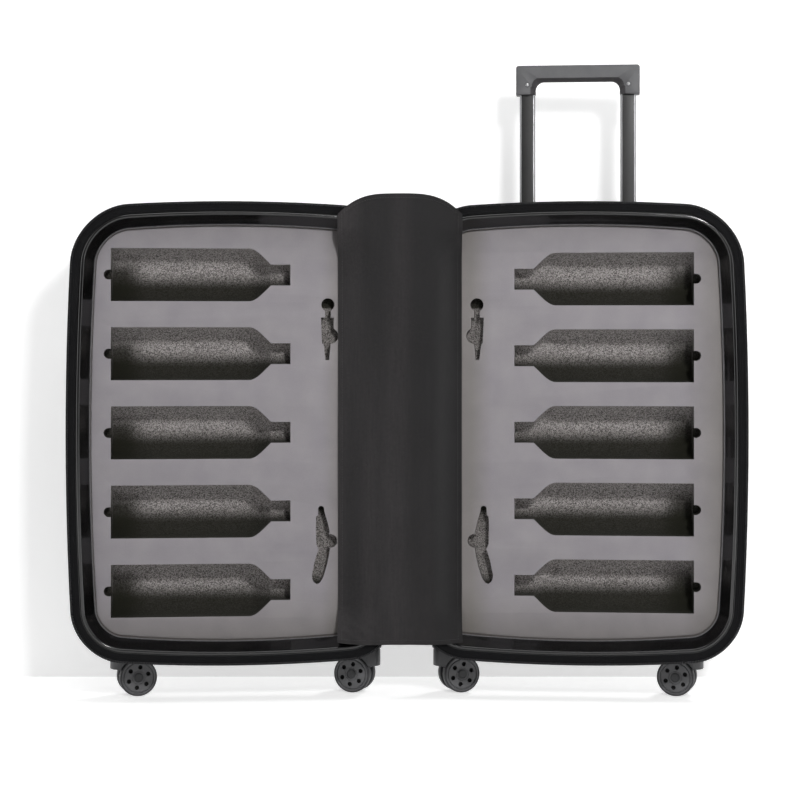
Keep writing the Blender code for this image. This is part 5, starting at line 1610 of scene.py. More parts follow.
@dataclass
class Trolley:
    """The pull-out handle: grip with its screws and button, tubes with bright edges, and the tray."""

    half: Half
    deep: float = 0.110
    pitch: float = 0.168
    tube: Flat = (0.026, 0.014)
    tube_wall: float = 0.0014
    tube_corner: float = 0.0032
    tube_bottom: float = 0.662
    grip_top: float = 1.0475
    grip: Point = (0.206, 0.030, 0.0488)
    bar: float = 0.0266
    leg: float = 0.033
    grip_edge: float = 0.0034
    inner_edge: float = 0.0098
    opening_radius: float = 0.014
    outer_radius: float = 0.0045
    socket: float = 0.020
    screw_up: float = 0.0165
    counterbore: Flat = (0.0036, 0.0030)
    socket_play: float = 0.0006
    button_play: float = 0.0008
    button: Point = (0.030, 0.012, 0.006)
    tray: Point = (0.222, 0.040, 0.016)
    tray_wall: float = 0.0025
    tray_top: float = 0.8135

    @property
    def matrix(self) -> Matrix:
        """The frame of the grip: its origin under the middle of the grip."""
        place = self.half.spot(self.half.centre, self.deep, self.grip_top - self.grip[2])
        return self.half.axis_matrix @ Matrix.Translation(place)

    def build(self, wardrobe: Wardrobe) -> None:
        """Model and dress the whole trolley.

        Args:
            wardrobe: The finishes.
        """
        grip = self._grip()
        wardrobe.dress(grip, "grip", "trolley", "trolley_grip")
        self._dark_inlay(grip, wardrobe)
        for key, way in (("left", -1), ("right", 1)):
            tube = self._tube(f"trolley_rail_{key}", way)
            wardrobe.dress(tube, "tube", "trolley", f"trolley_tube_{key}")
            self._bright_corners(tube, wardrobe)
            wardrobe.dress(self._screw(f"grip_screw_{key}", way), "steel", "trolley")
        wardrobe.dress(self._button(), "moulding", "grip_button", "grip_button")
        wardrobe.dress(self._tray(), "moulding", "rear_half", "trolley_tray")

    def _grip(self) -> bpy.types.Object:
        """The grip: a staple with a broad rounded edge round its opening, sockets and a button pocket.

        Returns:
            The finished object.
        """
        width, depth, height = self.grip
        opening, ceiling, by = width / 2 - self.leg, height - self.bar, self.opening_radius
        turn, steps = self.outer_radius, 12
        path = [((-opening, up), (-width / 2, up)) for up in (0, 0.006, 0.012)]
        inner = arc((by - opening, ceiling - by), by, 180, 90, steps)
        path += zip(inner, arc((turn - width / 2, height - turn), turn, 180, 90, steps))
        path += [((-x, z), (-a, b)) for (x, z), (a, b) in reversed(path)]
        bench = Bench.rings("trolley_handgrip", [self._grip_section(*ends) for ends in path], caps=True)
        bench.round_below(1e-6, 0.0008, 2)
        for across in (-self.pitch / 2, self.pitch / 2):
            size = (self.tube[0] + self.socket_play, self.tube[1] + self.socket_play, 2 * self.socket)
            bench.cut_box(size, (across, 0, 0)).drill(*self.counterbore, (across, -depth / 2, self.screw_up), "Y")
        size = (self.button[0] + self.button_play, self.button[1] + self.button_play, 0.021)
        return bench.cut_box(size, (0, 0, height)).place(self.matrix, angle=32)

    def _grip_section(self, inner: Flat, outer: Flat) -> list[Point]:
        """A section of the grip from the opening to the outside, its corners rounded.

        Args:
            inner: Where the section meets the opening, in X and Z.
            outer: Where it meets the grip's outside.

        Returns:
            The section's points.
        """
        start, end = Vector(inner), Vector(outer)
        span = (end - start).length
        along = (end - start) / span
        back, soft, hard = self.grip[1] / 2, self.inner_edge, self.grip_edge
        slope = [(0, back - soft), (0.04 * soft, back - 0.90 * soft), (0.90 * soft, back - 0.04 * soft), (soft, back)]
        flat = slope + arc((span - hard, back - hard), hard, 90, 0, 5)
        flat += arc((span - hard, hard - back), hard, 0, -90, 5) + [(reach, -deep) for reach, deep in reversed(slope)]
        found = [(start + along * reach, deep) for reach, deep in flat]
        return [(point.x, deep, point.y) for point, deep in found]

    def _dark_inlay(self, grip: bpy.types.Object, wardrobe: Wardrobe) -> None:
        """Give the slope round the grip's opening, and its underside, a darker material.

        Args:
            grip: The dressed grip.
            wardrobe: The finishes.
        """
        grip.data.materials.append(wardrobe["inlay"])
        turn = self.matrix.inverted()
        rotation = turn.to_3x3()
        reach, ceiling = self.grip[0] / 2 - 0.6 * self.leg, self.grip[2] - 0.6 * self.bar
        for polygon in grip.data.polygons:
            place, normal = turn @ polygon.center, rotation @ polygon.normal
            inside = abs(place.x) < reach and place.z < ceiling
            polygon.material_index = 1 if inside and abs(normal.y) < 0.9 and place.z > 1e-5 else 0

    def _screw(self, name: str, way: int) -> bpy.types.Object:
        """A pan-head screw with a cross recess, sunk in the grip's leg.

        Args:
            name: The piece's name.
            way: -1 for the left one, 1 for the right one.

        Returns:
            The finished object.
        """
        head = [(0, 0.0012), (0.0016, 0.0011), (0.0026, 0.0006), (0.0030, 0), (0.0030, -0.0002), (0, -0.0002)]
        bench = Bench.turned(name, head, 28)
        for size in ((0.0034, 0.0007, 0.002), (0.0007, 0.0034, 0.002)):
            bench.cut_box(size, (0, 0, 0.0016))
        turn = Matrix.Rotation(math.pi / 2, 4, "X") @ Matrix.Rotation(0.35 * way, 4, "Z")
        place = Matrix.Translation((way * self.pitch / 2, -self.grip[1] / 2 + 0.0013, self.screw_up))
        return bench.place(self.matrix @ place @ turn, angle=40)

    def _tube(self, name: str, way: int) -> bpy.types.Object:
        """One sliding tube, hollow, with rounded corners.

        Args:
            name: The piece's name.
            way: -1 for the left one, 1 for the right one.

        Returns:
            The finished object.
        """
        def section(width: float, depth: float, corner: float, up: float) -> list[Point]:
            """A rounded rectangle at a height.

            Args:
                width: Its width.
                depth: Its depth.
                corner: The radius of its corners.
                up: Its height.

            Returns:
                The section's points.
            """
            x, y = width / 2 - corner, depth / 2 - corner
            spots = ((x, y, 0), (-x, y, 90), (-x, -y, 180), (x, -y, 270))
            return [(a, b, up) for cx, cy, start in spots for a, b in arc((cx, cy), corner, start, start + 90, 6)]

        bottom = self.tube_bottom - (self.grip_top - self.grip[2])
        top = self.socket - 0.0003
        inner = (self.tube[0] - 2 * self.tube_wall, self.tube[1] - 2 * self.tube_wall)
        slim = self.tube_corner - self.tube_wall
        rings = [
            section(*self.tube, self.tube_corner, bottom), section(*self.tube, self.tube_corner, top),
            section(*inner, slim, top), section(*inner, slim, bottom),
        ]
        bench = Bench.rings(name, rings, around=True)
        return bench.place(self.matrix @ Matrix.Translation((way * self.pitch / 2, 0, 0)), angle=40)

    def _bright_corners(self, tube: bpy.types.Object, wardrobe: Wardrobe) -> None:
        """Give the rounded corners of a tube their polished finish.

        Args:
            tube: The dressed tube.
            wardrobe: The finishes.
        """
        tube.data.materials.append(wardrobe["silver"])
        turn = self.half.axis_matrix.to_3x3().inverted()
        for polygon in tube.data.polygons:
            normal = turn @ polygon.normal
            slanted = abs(normal.x) > 0.08 and abs(normal.y) > 0.78
            polygon.material_index = 1 if slanted and abs(normal.z) < 0.1 else 0

    def _button(self) -> bpy.types.Object:
        """The release button on top of the grip, with a finger hollow.

        Returns:
            The finished object.
        """
        height, top = self.button[2], self.grip[2] + 0.0008
        bench = Bench.cube("grip_release", self.button, (0, 0, top - height / 2))
        bench.inset_top(0.0022)
        bpy.ops.transform.translate(value=(0, 0, -0.0006))
        bench.round_edges(0.0007, 3, 20)
        return bench.place(self.matrix, angle=40)

    def _tray(self) -> bpy.types.Object:
        """The tray round the tubes, sunk in the top of the shell, with a rounded lip.

        Returns:
            The finished object.
        """
        top = self.tray_top - (self.grip_top - self.grip[2])
        centre = (0, 0, top - self.tray[2] / 2)
        bench = Bench.cube("trolley_well", self.tray, centre)
        bench.inset_top(self.tray_wall).extrude((0, 0, -(self.tray[2] - self.tray_wall)))
        bench.round_above(top - 0.1 * MM, 0.0009, 3)
        for way in (-1, 1):
            size = (self.tube[0] + MM, self.tube[1] + MM, self.tray[2])
            bench.cut_box(size, (way * self.pitch / 2, 0, top - self.tray[2]))
        return bench.place(self.matrix, angle=35)


# Handles, lock, zip sliders and pads


@dataclass
class CarryHandle:
    """A spring-back handle in its cup. Its frame: x along it, z out of the case from the cup's rim."""

    half: Half
    key: str
    place: Vector
    turn: Euler
    cup: Point = (0.200, 0.040, 0.022)
    wall: float = 0.0022
    strap: Point = (0.170, 0.018, 0.006)
    sunk: float = 0.0004
    leg_length: float = 0.027
    leg_width: float = 0.009
    leg_inset: float = 0.006
    leg_play: float = 0.0008
    foot: Flat = (0.003, 0.002)
    ridge: tuple[Flat, ...] = ((0.0022, 0), (0.0012, 0.0007), (-0.0012, 0.0007), (-0.0022, 0))
    ridge_count: int = 15
    ridge_start: float = 0.050
    ridge_pitch: float = 0.0072
    end_rounding: float = 0.004
    rim_rounding: float = 0.0018

    @property
    def matrix(self) -> Matrix:
        """The handle's frame in the world."""
        return self.half.axis_matrix @ Matrix.Translation(self.place) @ self.turn.to_matrix().to_4x4()

    @property
    def leg_centre(self) -> float:
        """How far a leg's middle is from the handle's."""
        return self.strap[0] / 2 - self.leg_inset - self.leg_width / 2

    def build(self, wardrobe: Wardrobe) -> None:
        """Model and dress the cup and the handle."""
        wardrobe.dress(self._cup(), "moulding", "rear_half", f"{self.key}_handle_cup")
        wardrobe.dress(self._strap(), "handle", f"{self.key}_handle", f"{self.key}_handle")

    def _cup(self) -> bpy.types.Object:
        """The cup: a tray with rounded corners, a thin lip and two slots for the handle's legs.

        Returns:
            The finished object.
        """
        depth = self.cup[2]
        floor, near = self.wall - depth, 0.1 * MM
        bench = Bench.cube(f"{self.key}_grip_cup", self.cup, (0, 0, -depth / 2))
        bench.inset_top(self.wall).extrude((0, 0, floor)).round_above(-near, 0.0009, 3)
        bench.pick(Pick.EDGES, lambda a, b: max(abs(a.z - floor), abs(b.z - floor)) < near).bevel(0.003, 4)
        for way in (-1, 1):
            size = (self.leg_width + self.leg_play, self.strap[1] + self.leg_play, 2 * depth)
            bench.cut_box(size, (way * self.leg_centre, 0, -depth))
        return bench.place(self.matrix, angle=35)

    def _strap(self) -> bpy.types.Object:
        """The handle: a soft bar with grip ridges under it and a leg with a foot at each end.

        Returns:
            The finished object.
        """
        length, width, thickness = self.strap
        top, under = -self.sunk, -self.sunk - thickness
        out, near = self.leg_centre + self.leg_width / 2, self.leg_centre - self.leg_width / 2
        high = under - self.leg_length
        low = high - self.foot[1]
        ridges = []
        for index in range(self.ridge_count):
            x = self.ridge_start - index * self.ridge_pitch
            ridges += [(x + out, under + rise) for out, rise in self.ridge]
        right = [(near, under), (near, low), (out + self.foot[0], low), (out + self.foot[0], high), (out, high)]
        right += [(out, under), (length / 2, under)]
        soft = self.end_rounding
        right += arc((length / 2 - soft, top - soft), soft, 0, 90, 5)
        left = [(-x, z) for x, z in reversed(right)]
        bench = Bench.plate(f"{self.key}_pull", [right + left + ridges[::-1]], width)

        def upper_rim(a: Vector, b: Vector) -> bool:
            """Whether an edge runs along one of the bar's faces, above its ridges."""
            flat = abs(a.y - b.y) < 0.1 * MM and abs(abs(a.y) - width / 2) < 0.1 * MM
            return flat and min(a.z, b.z) > under + MM

        return bench.pick(Pick.EDGES, upper_rim).bevel(self.rim_rounding, 4).place(self.matrix, angle=40)


@dataclass
class Lock:
    """The combination lock let into the front half's outer side: body, dials with numbers, button.

    Its frame: z out of the case, x upwards.
    """

    half: Half
    proud: float = 0.0006
    size: Point = (0.064, 0.028, 0.016)
    deep: float = 0.043
    dial_radius: float = 0.007
    dial_thickness: float = 0.005
    dial_pitch: float = 0.0085
    dial_proud: float = 0.001
    dial_column: float = 0.010
    button_down: float = 0.021
    button: Point = (0.009, 0.009, 0.005)
    button_proud: float = 0.0012
    gap: float = 0.0004
    puller_slot: Point = (0.009, 0.012, 0.0026)
    puller_place: Flat = (0.009, -0.0042)
    figure: float = 0.0036

    @property
    def matrix(self) -> Matrix:
        """The lock's frame in the world, its origin in the middle of the lock's face."""
        place = self.half.spot(self.half.outer + self.proud, self.deep, self.half.middle_up)
        axes = Matrix(((0, 0, -1), (0, 1, 0), (1, 0, 0)))
        return self.half.axis_matrix @ Matrix.Translation(place) @ axes.to_4x4()

    def dial_up(self, index: int) -> float:
        """How far a dial's middle is above the lock's."""
        return self.dial_column + (index - 1) * self.dial_pitch

    def build(self, wardrobe: Wardrobe) -> None:
        """Model and dress the lock.

        Args:
            wardrobe: The finishes.
        """
        wardrobe.dress(self._body(), "moulding", "front_half", "lock_body")
        for index in range(3):
            body = f"lock_dial_{index + 1}"
            wardrobe.dress(self._dial(index), "dial", body, body)
            wardrobe.dress(self._numbers(index), "digits", body)
        bench = Bench.cube("lock_release", self.button, (-self.button_down, 0, self.button_proud - self.button[2] / 2))
        bench.pick(Pick.FACES, lambda c, n: n.z > 0.9).inset(0.0012)
        bench.pick(Pick.FACES, lambda c, n: n.z > 0.9 and abs(c.x + self.button_down) < 0.1 * MM)
        bpy.ops.transform.translate(value=(0, 0, -0.0003))
        bench.round_edges(0.0005, 3, 15)
        wardrobe.dress(bench.place(self.matrix), "zip_metal", "lock_button", "lock_button", slot="moulding")

    def _body(self) -> bpy.types.Object:
        """The lock's housing with a stepped face, dial slots, button pocket and puller slots.

        Returns:
            The finished object.
        """
        width, depth = self.size[1:]
        bench = Bench.cube("lock_housing", self.size, (0, 0, -depth / 2))
        bench.round_upright(0.0035, 5).inset_top(0.0016).extrude((0, 0, -0.0004))
        bench.round_above(-0.0001, 0.0004, 2)
        slot, play = 2 * (self.dial_radius + self.gap), 2 * self.gap
        for index in range(3):
            place = (self.dial_up(index), 0, self.dial_proud - self.dial_radius)
            bench.cut_box((self.dial_thickness + play, slot, slot), place)
        bench.cut_box((self.button[0] + play, self.button[1] + play, 0.015), (-self.button_down, 0, 0))
        up, deep = self.puller_place
        for way in (-1, 1):
            bench.cut_box(self.puller_slot, (way * up, -width / 2, deep))
        return bench.place(self.matrix, angle=35)

    def _dial(self, index: int) -> bpy.types.Object:
        """One dial, with a fine grip edge round each rim.

        Args:
            index: Which dial, from 0.

        Returns:
            The finished object.
        """
        place = (self.dial_up(index), 0, self.dial_proud - self.dial_radius)
        bench = Bench.rod(f"lock_wheel_{index + 1}", self.dial_radius, self.dial_thickness, place, "X", steps=40)
        bench.pick(Pick.FACES, lambda c, n: abs(n.x) > 0.9).inset(0.0008)
        bench.round_edges(0.0003, 2, 40)
        return bench.place(self.matrix, angle=25)

    def _numbers(self, index: int) -> bpy.types.Object:
        """The ten numbers round a dial, as flat figures on its rim.

        Args:
            index: Which dial, from 0.

        Returns:
            The finished object.
        """
        figures = []
        for digit in range(10):
            Bench.clear()
            bpy.ops.object.text_add()
            text = bpy.context.active_object
            text.data.body = str(digit)
            text.data.size = self.figure
            text.data.align_x, text.data.align_y = "CENTER", "CENTER"
            text.data.extrude = 0.00004
            bpy.ops.object.convert(target="MESH")
            item = bpy.context.active_object
            turn = Matrix.Rotation(2 * math.pi * (digit - 3 * index) / 10, 4, "X")
            axes = Matrix(((0, 1, 0), (-1, 0, 0), (0, 0, 1))).to_4x4()
            item.data.transform(turn @ Matrix.Translation((0, 0, self.dial_radius + 0.00003)) @ axes)
            figures.append(item)
        Bench.clear()
        for item in figures:
            item.select_set(True)
        bpy.context.view_layer.objects.active = figures[0]
        bpy.ops.object.join()
        joined = bpy.context.active_object
        joined.name = joined.data.name = f"lock_numbers_{index + 1}"
        bpy.ops.object.mode_set(mode="EDIT")
        place = Matrix.Translation((self.dial_up(index), 0, self.dial_proud - self.dial_radius))
        return Bench(joined).weld(0.002 * MM).place(self.matrix @ place)


@dataclass
class ZipPulls:
    """The two zip sliders at the hinge end of the rear zip, and their pullers."""

    half: Half
    slider: Point = (0.010, 0.008, 0.003)
    puller: Point = (0.007, 0.025, 0.0016)
    eye: float = 0.0012
    eye_hole: Flat = (0.0011, 0.01)
    cut: float = 0.0004
    gap: float = 0.0003

    def seat_matrix(self, facet: int) -> Matrix:
        """Where a slider sits: on a facet of the tape's outer edge, as the solids have it.

        Args:
            facet: The facet's number, round the outline.

        Returns:
            The slider's frame in the world.
        """
        coarse = Half(self.half.side, corner_steps=5, side_steps=5).outline(-0.001)
        outer, inner = Vector(coarse[10 + facet]), Vector(coarse[10 + facet + 1])
        middle = (outer + inner) / 2
        slope = math.atan2(outer.y - inner.y, outer.x - inner.x)
        place = self.half.spot(middle.x, 0, middle.y)
        return self.half.axis_matrix @ Matrix.Translation(place) @ Matrix.Rotation(-slope, 4, "Y")

    def build(self, wardrobe: Wardrobe) -> None:
        """Model and dress both sliders and pullers.

        Args:
            wardrobe: The finishes.
        """
        for index, facet in ((1, 11), (2, 12)):
            seat, puller = self.seat_matrix(facet), f"zip_puller_{index}"
            wardrobe.dress(self._slider(f"zip_runner_{index}", seat), "zip_metal", "rear_half", f"zip_slider_{index}")
            wardrobe.dress(self._puller(f"zip_tab_{index}", seat), "zip_metal", puller, puller)

    def _slider(self, name: str, seat: Matrix) -> bpy.types.Object:
        """A slider: a waisted body under a small loop.

        Args:
            name: The piece's name.
            seat: The slider's frame.

        Returns:
            The finished object.
        """
        length, width, height = self.slider
        bench = Bench.cube(name, (length, width, height * 0.62), (0, 0, self.gap + height * 0.31))
        bench.round_upright(0.0022, 4).round_above(height * 0.6, 0.0005, 2)
        loop = Bench.cube("loop", (length * 0.42, width * 0.8, height * 0.46), (0, 0.0006, self.gap + height * 0.77))
        loop.round_above(height, 0.0006, 2)
        return bench.combine(loop, how="UNION").place(seat, angle=40)

    def _puller(self, name: str, seat: Matrix) -> bpy.types.Object:
        """A puller: a flat tab with round ends and an eye.

        Args:
            name: The piece's name.
            seat: The slider's frame.

        Returns:
            The finished object.
        """
        width, length, thickness = self.puller
        cut = self.cut  # shorter behind the eye, so that the tab can stand up on the round corner
        middle = (length + cut) / 2 - self.eye
        bench = Bench.cube(name, (width, length - cut, thickness - cut / 2), (0, middle, 0))
        bench.round_upright(0.0028, 5)
        bench.drill(*self.eye_hole, (0, middle + length * 0.32, 0), steps=24)
        bench.round_edges(0.0003, 2, 50)
        eye = (0, self.slider[1] / 2 + self.gap + self.eye, self.gap + thickness / 2)
        return bench.place(seat @ Matrix.Translation(eye), angle=40)


@dataclass
class Pad:
    """A moulded pad under a half, with shallow ridges across it."""

    half: Half
    name: str
    node: str
    length: float
    offset: float = 0.0
    width: float = 0.030
    drop: float = 0.0025
    deep: float = 0.042
    gap: float = 0.0003
    groove: Point = (0.0018, 0.0186, 0.0010)
    groove_pitch: float = 0.006

    def build(self, wardrobe: Wardrobe) -> None:
        """Model and dress the pad.

        Args:
            wardrobe: The finishes.
        """
        centre = (self.half.centre + self.offset, self.deep, self.half.bottom_up - self.gap - self.drop / 2)
        bench = Bench.cube(self.name, (self.length, self.width, self.drop), centre)
        low = centre[2] - self.drop / 2
        bench.round_upright(0.005, 5).round_below(low + 0.1 * MM, 0.0011, 3)
        grooves = int(self.length / self.groove_pitch) - 2
        for index in range(grooves):
            x = centre[0] + (index - (grooves - 1) / 2) * self.groove_pitch
            bench.cut_box(self.groove, (x, self.deep, low))
        wardrobe.dress(bench.place(self.half.matrix, angle=35), "moulding", self.half.body, self.node)


# Casters


@dataclass
class Caster:
    """A twin-wheel spinner caster. Its frame: the swivel axis is z, the wheels trail along x."""

    half: Half
    place: str
    across: float
    yaw: float
    deep: float = 0.088
    trail: float = 0.022
    wheel_radius: float = 0.031
    wheel_width: float = 0.013
    wheel_gap: float = 0.012
    hole_ring: float = 0.017
    hole_radius: float = 0.0036
    cap_radius: float = 0.0078
    fork_radius: float = 0.022
    fork_top: float = 0.0740
    chamfer: float = 0.004
    wheel_clearance: float = 0.002
    axle_bore: Flat = (0.0033, 0.03)
    hole_depth: float = 0.008
    hole_turn: float = 0.35
    skirt: float = 0.045
    web: float = 0.0104
    boss: float = 0.009
    stem_radius: float = 0.005

    @property
    def key(self) -> str:
        """The caster's place in the solids' names."""
        return f"{self.half.key}_{self.place}"

    @property
    def matrix(self) -> Matrix:
        """The swivel's frame, its origin on the floor."""
        side = self.half.side.value
        inward = side if self.place == "hinge" else -side
        turn = self.yaw if inward > 0 else math.pi - self.yaw
        spot = self.half.spot(self.across, self.deep, 0)
        return self.half.axis_matrix @ Matrix.Translation(spot) @ Matrix.Rotation(turn, 4, "Z")

    def build(self, wardrobe: Wardrobe) -> None:
        """Model and dress the caster.

        Args:
            wardrobe: The finishes.
        """
        wardrobe.dress(self._fork(), "moulding", f"fork_{self.key}", f"caster_fork_{self.key}")
        wardrobe.dress(self._axle(), "moulding", f"fork_{self.key}", f"caster_axle_{self.key}")
        offset = (self.wheel_gap + self.wheel_width) / 2
        for letter, way in (("a", -1), ("b", 1)):
            body = f"wheel_{letter}_{self.key}"
            disc = self._disc(f"wheel_disc_{letter}_{self.key}", way, offset)
            wardrobe.dress(disc, "wheel", body, f"caster_wheel_{letter}_{self.key}")
            self._dark_holes(disc, wardrobe, self._axis(way, offset).inverted())
            wardrobe.dress(self._tread(f"wheel_tread_{letter}_{self.key}", way, offset), "tread", body)

    def _axis(self, way: int, offset: float) -> Matrix:
        """From a turned wheel's frame, its outer face towards z, to the world.

        Args:
            way: The side of the fork, -1 or 1.
            offset: How far the wheel's middle is from the fork's.

        Returns:
            The frame in the world.
        """
        hub = Matrix.Translation((self.trail, way * offset, self.wheel_radius))
        turn = Matrix.Rotation(-way * math.pi / 2, 4, "X")
        return self.matrix @ hub @ turn

    def _disc(self, name: str, way: int, offset: float) -> bpy.types.Object:
        """The wheel's body: a dished face with a raised rim, a boss round the cap and six holes.

        Args:
            name: The piece's name.
            way: The side of the fork, -1 or 1.
            offset: How far the wheel's middle is from the fork's.

        Returns:
            The finished object.
        """
        half, r = self.wheel_width / 2, self.wheel_radius
        dished = half - 0.0008
        profile = [
            (0.0034, dished), (0.0096, dished), (0.0100, half - 0.0014), (0.0106, half - 0.0014),
            (0.0112, dished), (0.0225, dished), (0.0236, half - 0.0010), (0.0243, half - 0.0026),
            (0.0251, half - 0.0026), (0.0256, half - 0.0006), (0.0264, half), (r - 0.0030, half),
            (r - 0.0030, -half + 0.0004), (0.0240, -half), (0.0034, -half),
        ]
        bench = Bench.turned(name, profile, 64)
        for index in range(6):
            angle = 2 * math.pi * index / 6 + self.hole_turn
            place = (self.hole_ring * math.cos(angle), self.hole_ring * math.sin(angle), half - 0.003)
            bench.drill(self.hole_radius, self.hole_depth, place, steps=24)

        def hole_rim(a: Vector, b: Vector) -> bool:
            """Whether a short edge runs round one of the holes, in the dished face."""
            near = all(abs(p.z - dished) < 0.1 * MM and 0.0125 < math.hypot(p.x, p.y) < 0.0215 for p in (a, b))
            return near and (a - b).length < 0.0016

        return bench.pick(Pick.EDGES, hole_rim).bevel(0.0003, 2).place(self._axis(way, offset), angle=35)

    def _dark_holes(self, disc: bpy.types.Object, wardrobe: Wardrobe, turn: Matrix) -> None:
        """Give the inside of the six holes a painted shadow: a dark material.

        Args:
            disc: The dressed wheel disc.
            wardrobe: The finishes.
            turn: From the world to the wheel's frame.
        """
        disc.data.materials.append(wardrobe["hole"])
        for polygon in disc.data.polygons:
            place = turn @ polygon.center
            ring = abs(math.hypot(place.x, place.y) - self.hole_ring)
            inside = ring < self.hole_radius + 0.0002 and abs(place.z) < self.wheel_width / 2 - 0.0015
            polygon.material_index = 1 if inside else 0

    def _tread(self, name: str, way: int, offset: float) -> bpy.types.Object:
        """The rubber tyre round the disc.

        Args:
            name: The piece's name.
            way: The side of the fork, -1 or 1.
            offset: How far the wheel's middle is from the fork's.

        Returns:
            The finished object.
        """
        half, r = self.wheel_width / 2, self.wheel_radius
        profile = [
            (r - 0.0029, half - 0.0003), (r - 0.0016, half - 0.0001), (r - 0.0006, half - 0.0007),
            (r - 0.0001, half - 0.0018), (r, half - 0.0035), (r, 0.0035 - half), (r - 0.0001, 0.0018 - half),
            (r - 0.0006, 0.0007 - half), (r - 0.0016, 0.0001 - half), (r - 0.0029, 0.0005 - half),
        ]
        bench = Bench.turned(name, profile, 64)
        return bench.place(self._axis(way, offset), angle=35)

    def _axle(self) -> bpy.types.Object:
        """The axle pin with a domed cap at each end.

        Returns:
            The finished object.
        """
        half, cap = self.wheel_gap / 2 + self.wheel_width + 0.0003, self.cap_radius
        upper = [
            (0, half + 0.0011), (cap * 0.70, half + 0.0011), (cap * 0.74, half + 0.0006), (cap * 0.80, half + 0.0006),
            (cap * 0.84, half + 0.0012), (cap - 0.0004, half + 0.0011), (cap, half + 0.0006), (cap, half),
            (0.003, half - 0.0002),
        ]
        profile = upper + [(radius, -height) for radius, height in reversed(upper)]
        bench = Bench.turned(f"axle_{self.key}", profile, 40)
        hub = Matrix.Translation((self.trail, 0, self.wheel_radius)) @ Matrix.Rotation(math.pi / 2, 4, "X")
        return bench.place(self.matrix @ hub, angle=35)

    def _fork(self) -> bpy.types.Object:
        """The hooded head on its stem, the web between the wheels and the boss round the axle.

        Returns:
            The finished object.
        """
        height = self.fork_top - self.skirt
        bench = Bench.rod("fork", self.fork_radius, height, (0, 0, self.fork_top - height / 2), steps=64)
        bench.round_above(self.fork_top - 0.1 * MM, self.chamfer, 4).round_below(self.skirt + 0.1 * MM, 0.0008, 2)
        for way in (-1, 1):
            place = (self.trail, way * (self.web / 2 + self.fork_radius), self.wheel_radius)
            bench.drill(self.wheel_radius + self.wheel_clearance, 2 * self.fork_radius, place, "Y", steps=64)
        reach, crown = self.fork_radius - 0.0003, self.fork_top - 0.0003
        chamfer = self.chamfer
        loop = [(-reach / 2, crown - chamfer), (-reach / 2 + chamfer, crown), (reach - chamfer, crown)]
        loop += [(reach, crown - chamfer), (reach, self.skirt)]
        loop += arc((self.trail, self.wheel_radius), self.boss, 30, -150, 20)
        loop += [(-reach / 2, self.skirt)]
        bench.combine(Bench.plate("web", [loop], self.web, 0.0008, 2), how="UNION")
        stem = Bench.rod("stem", self.stem_radius, 0.020, (0, 0, self.fork_top), steps=32)
        bench.combine(stem, how="UNION")
        bench.drill(*self.axle_bore, (self.trail, 0, self.wheel_radius), "Y")
        bench.item.name = bench.item.data.name = f"fork_{self.key}_hood"
        return bench.place(self.matrix, angle=35)


# The studio


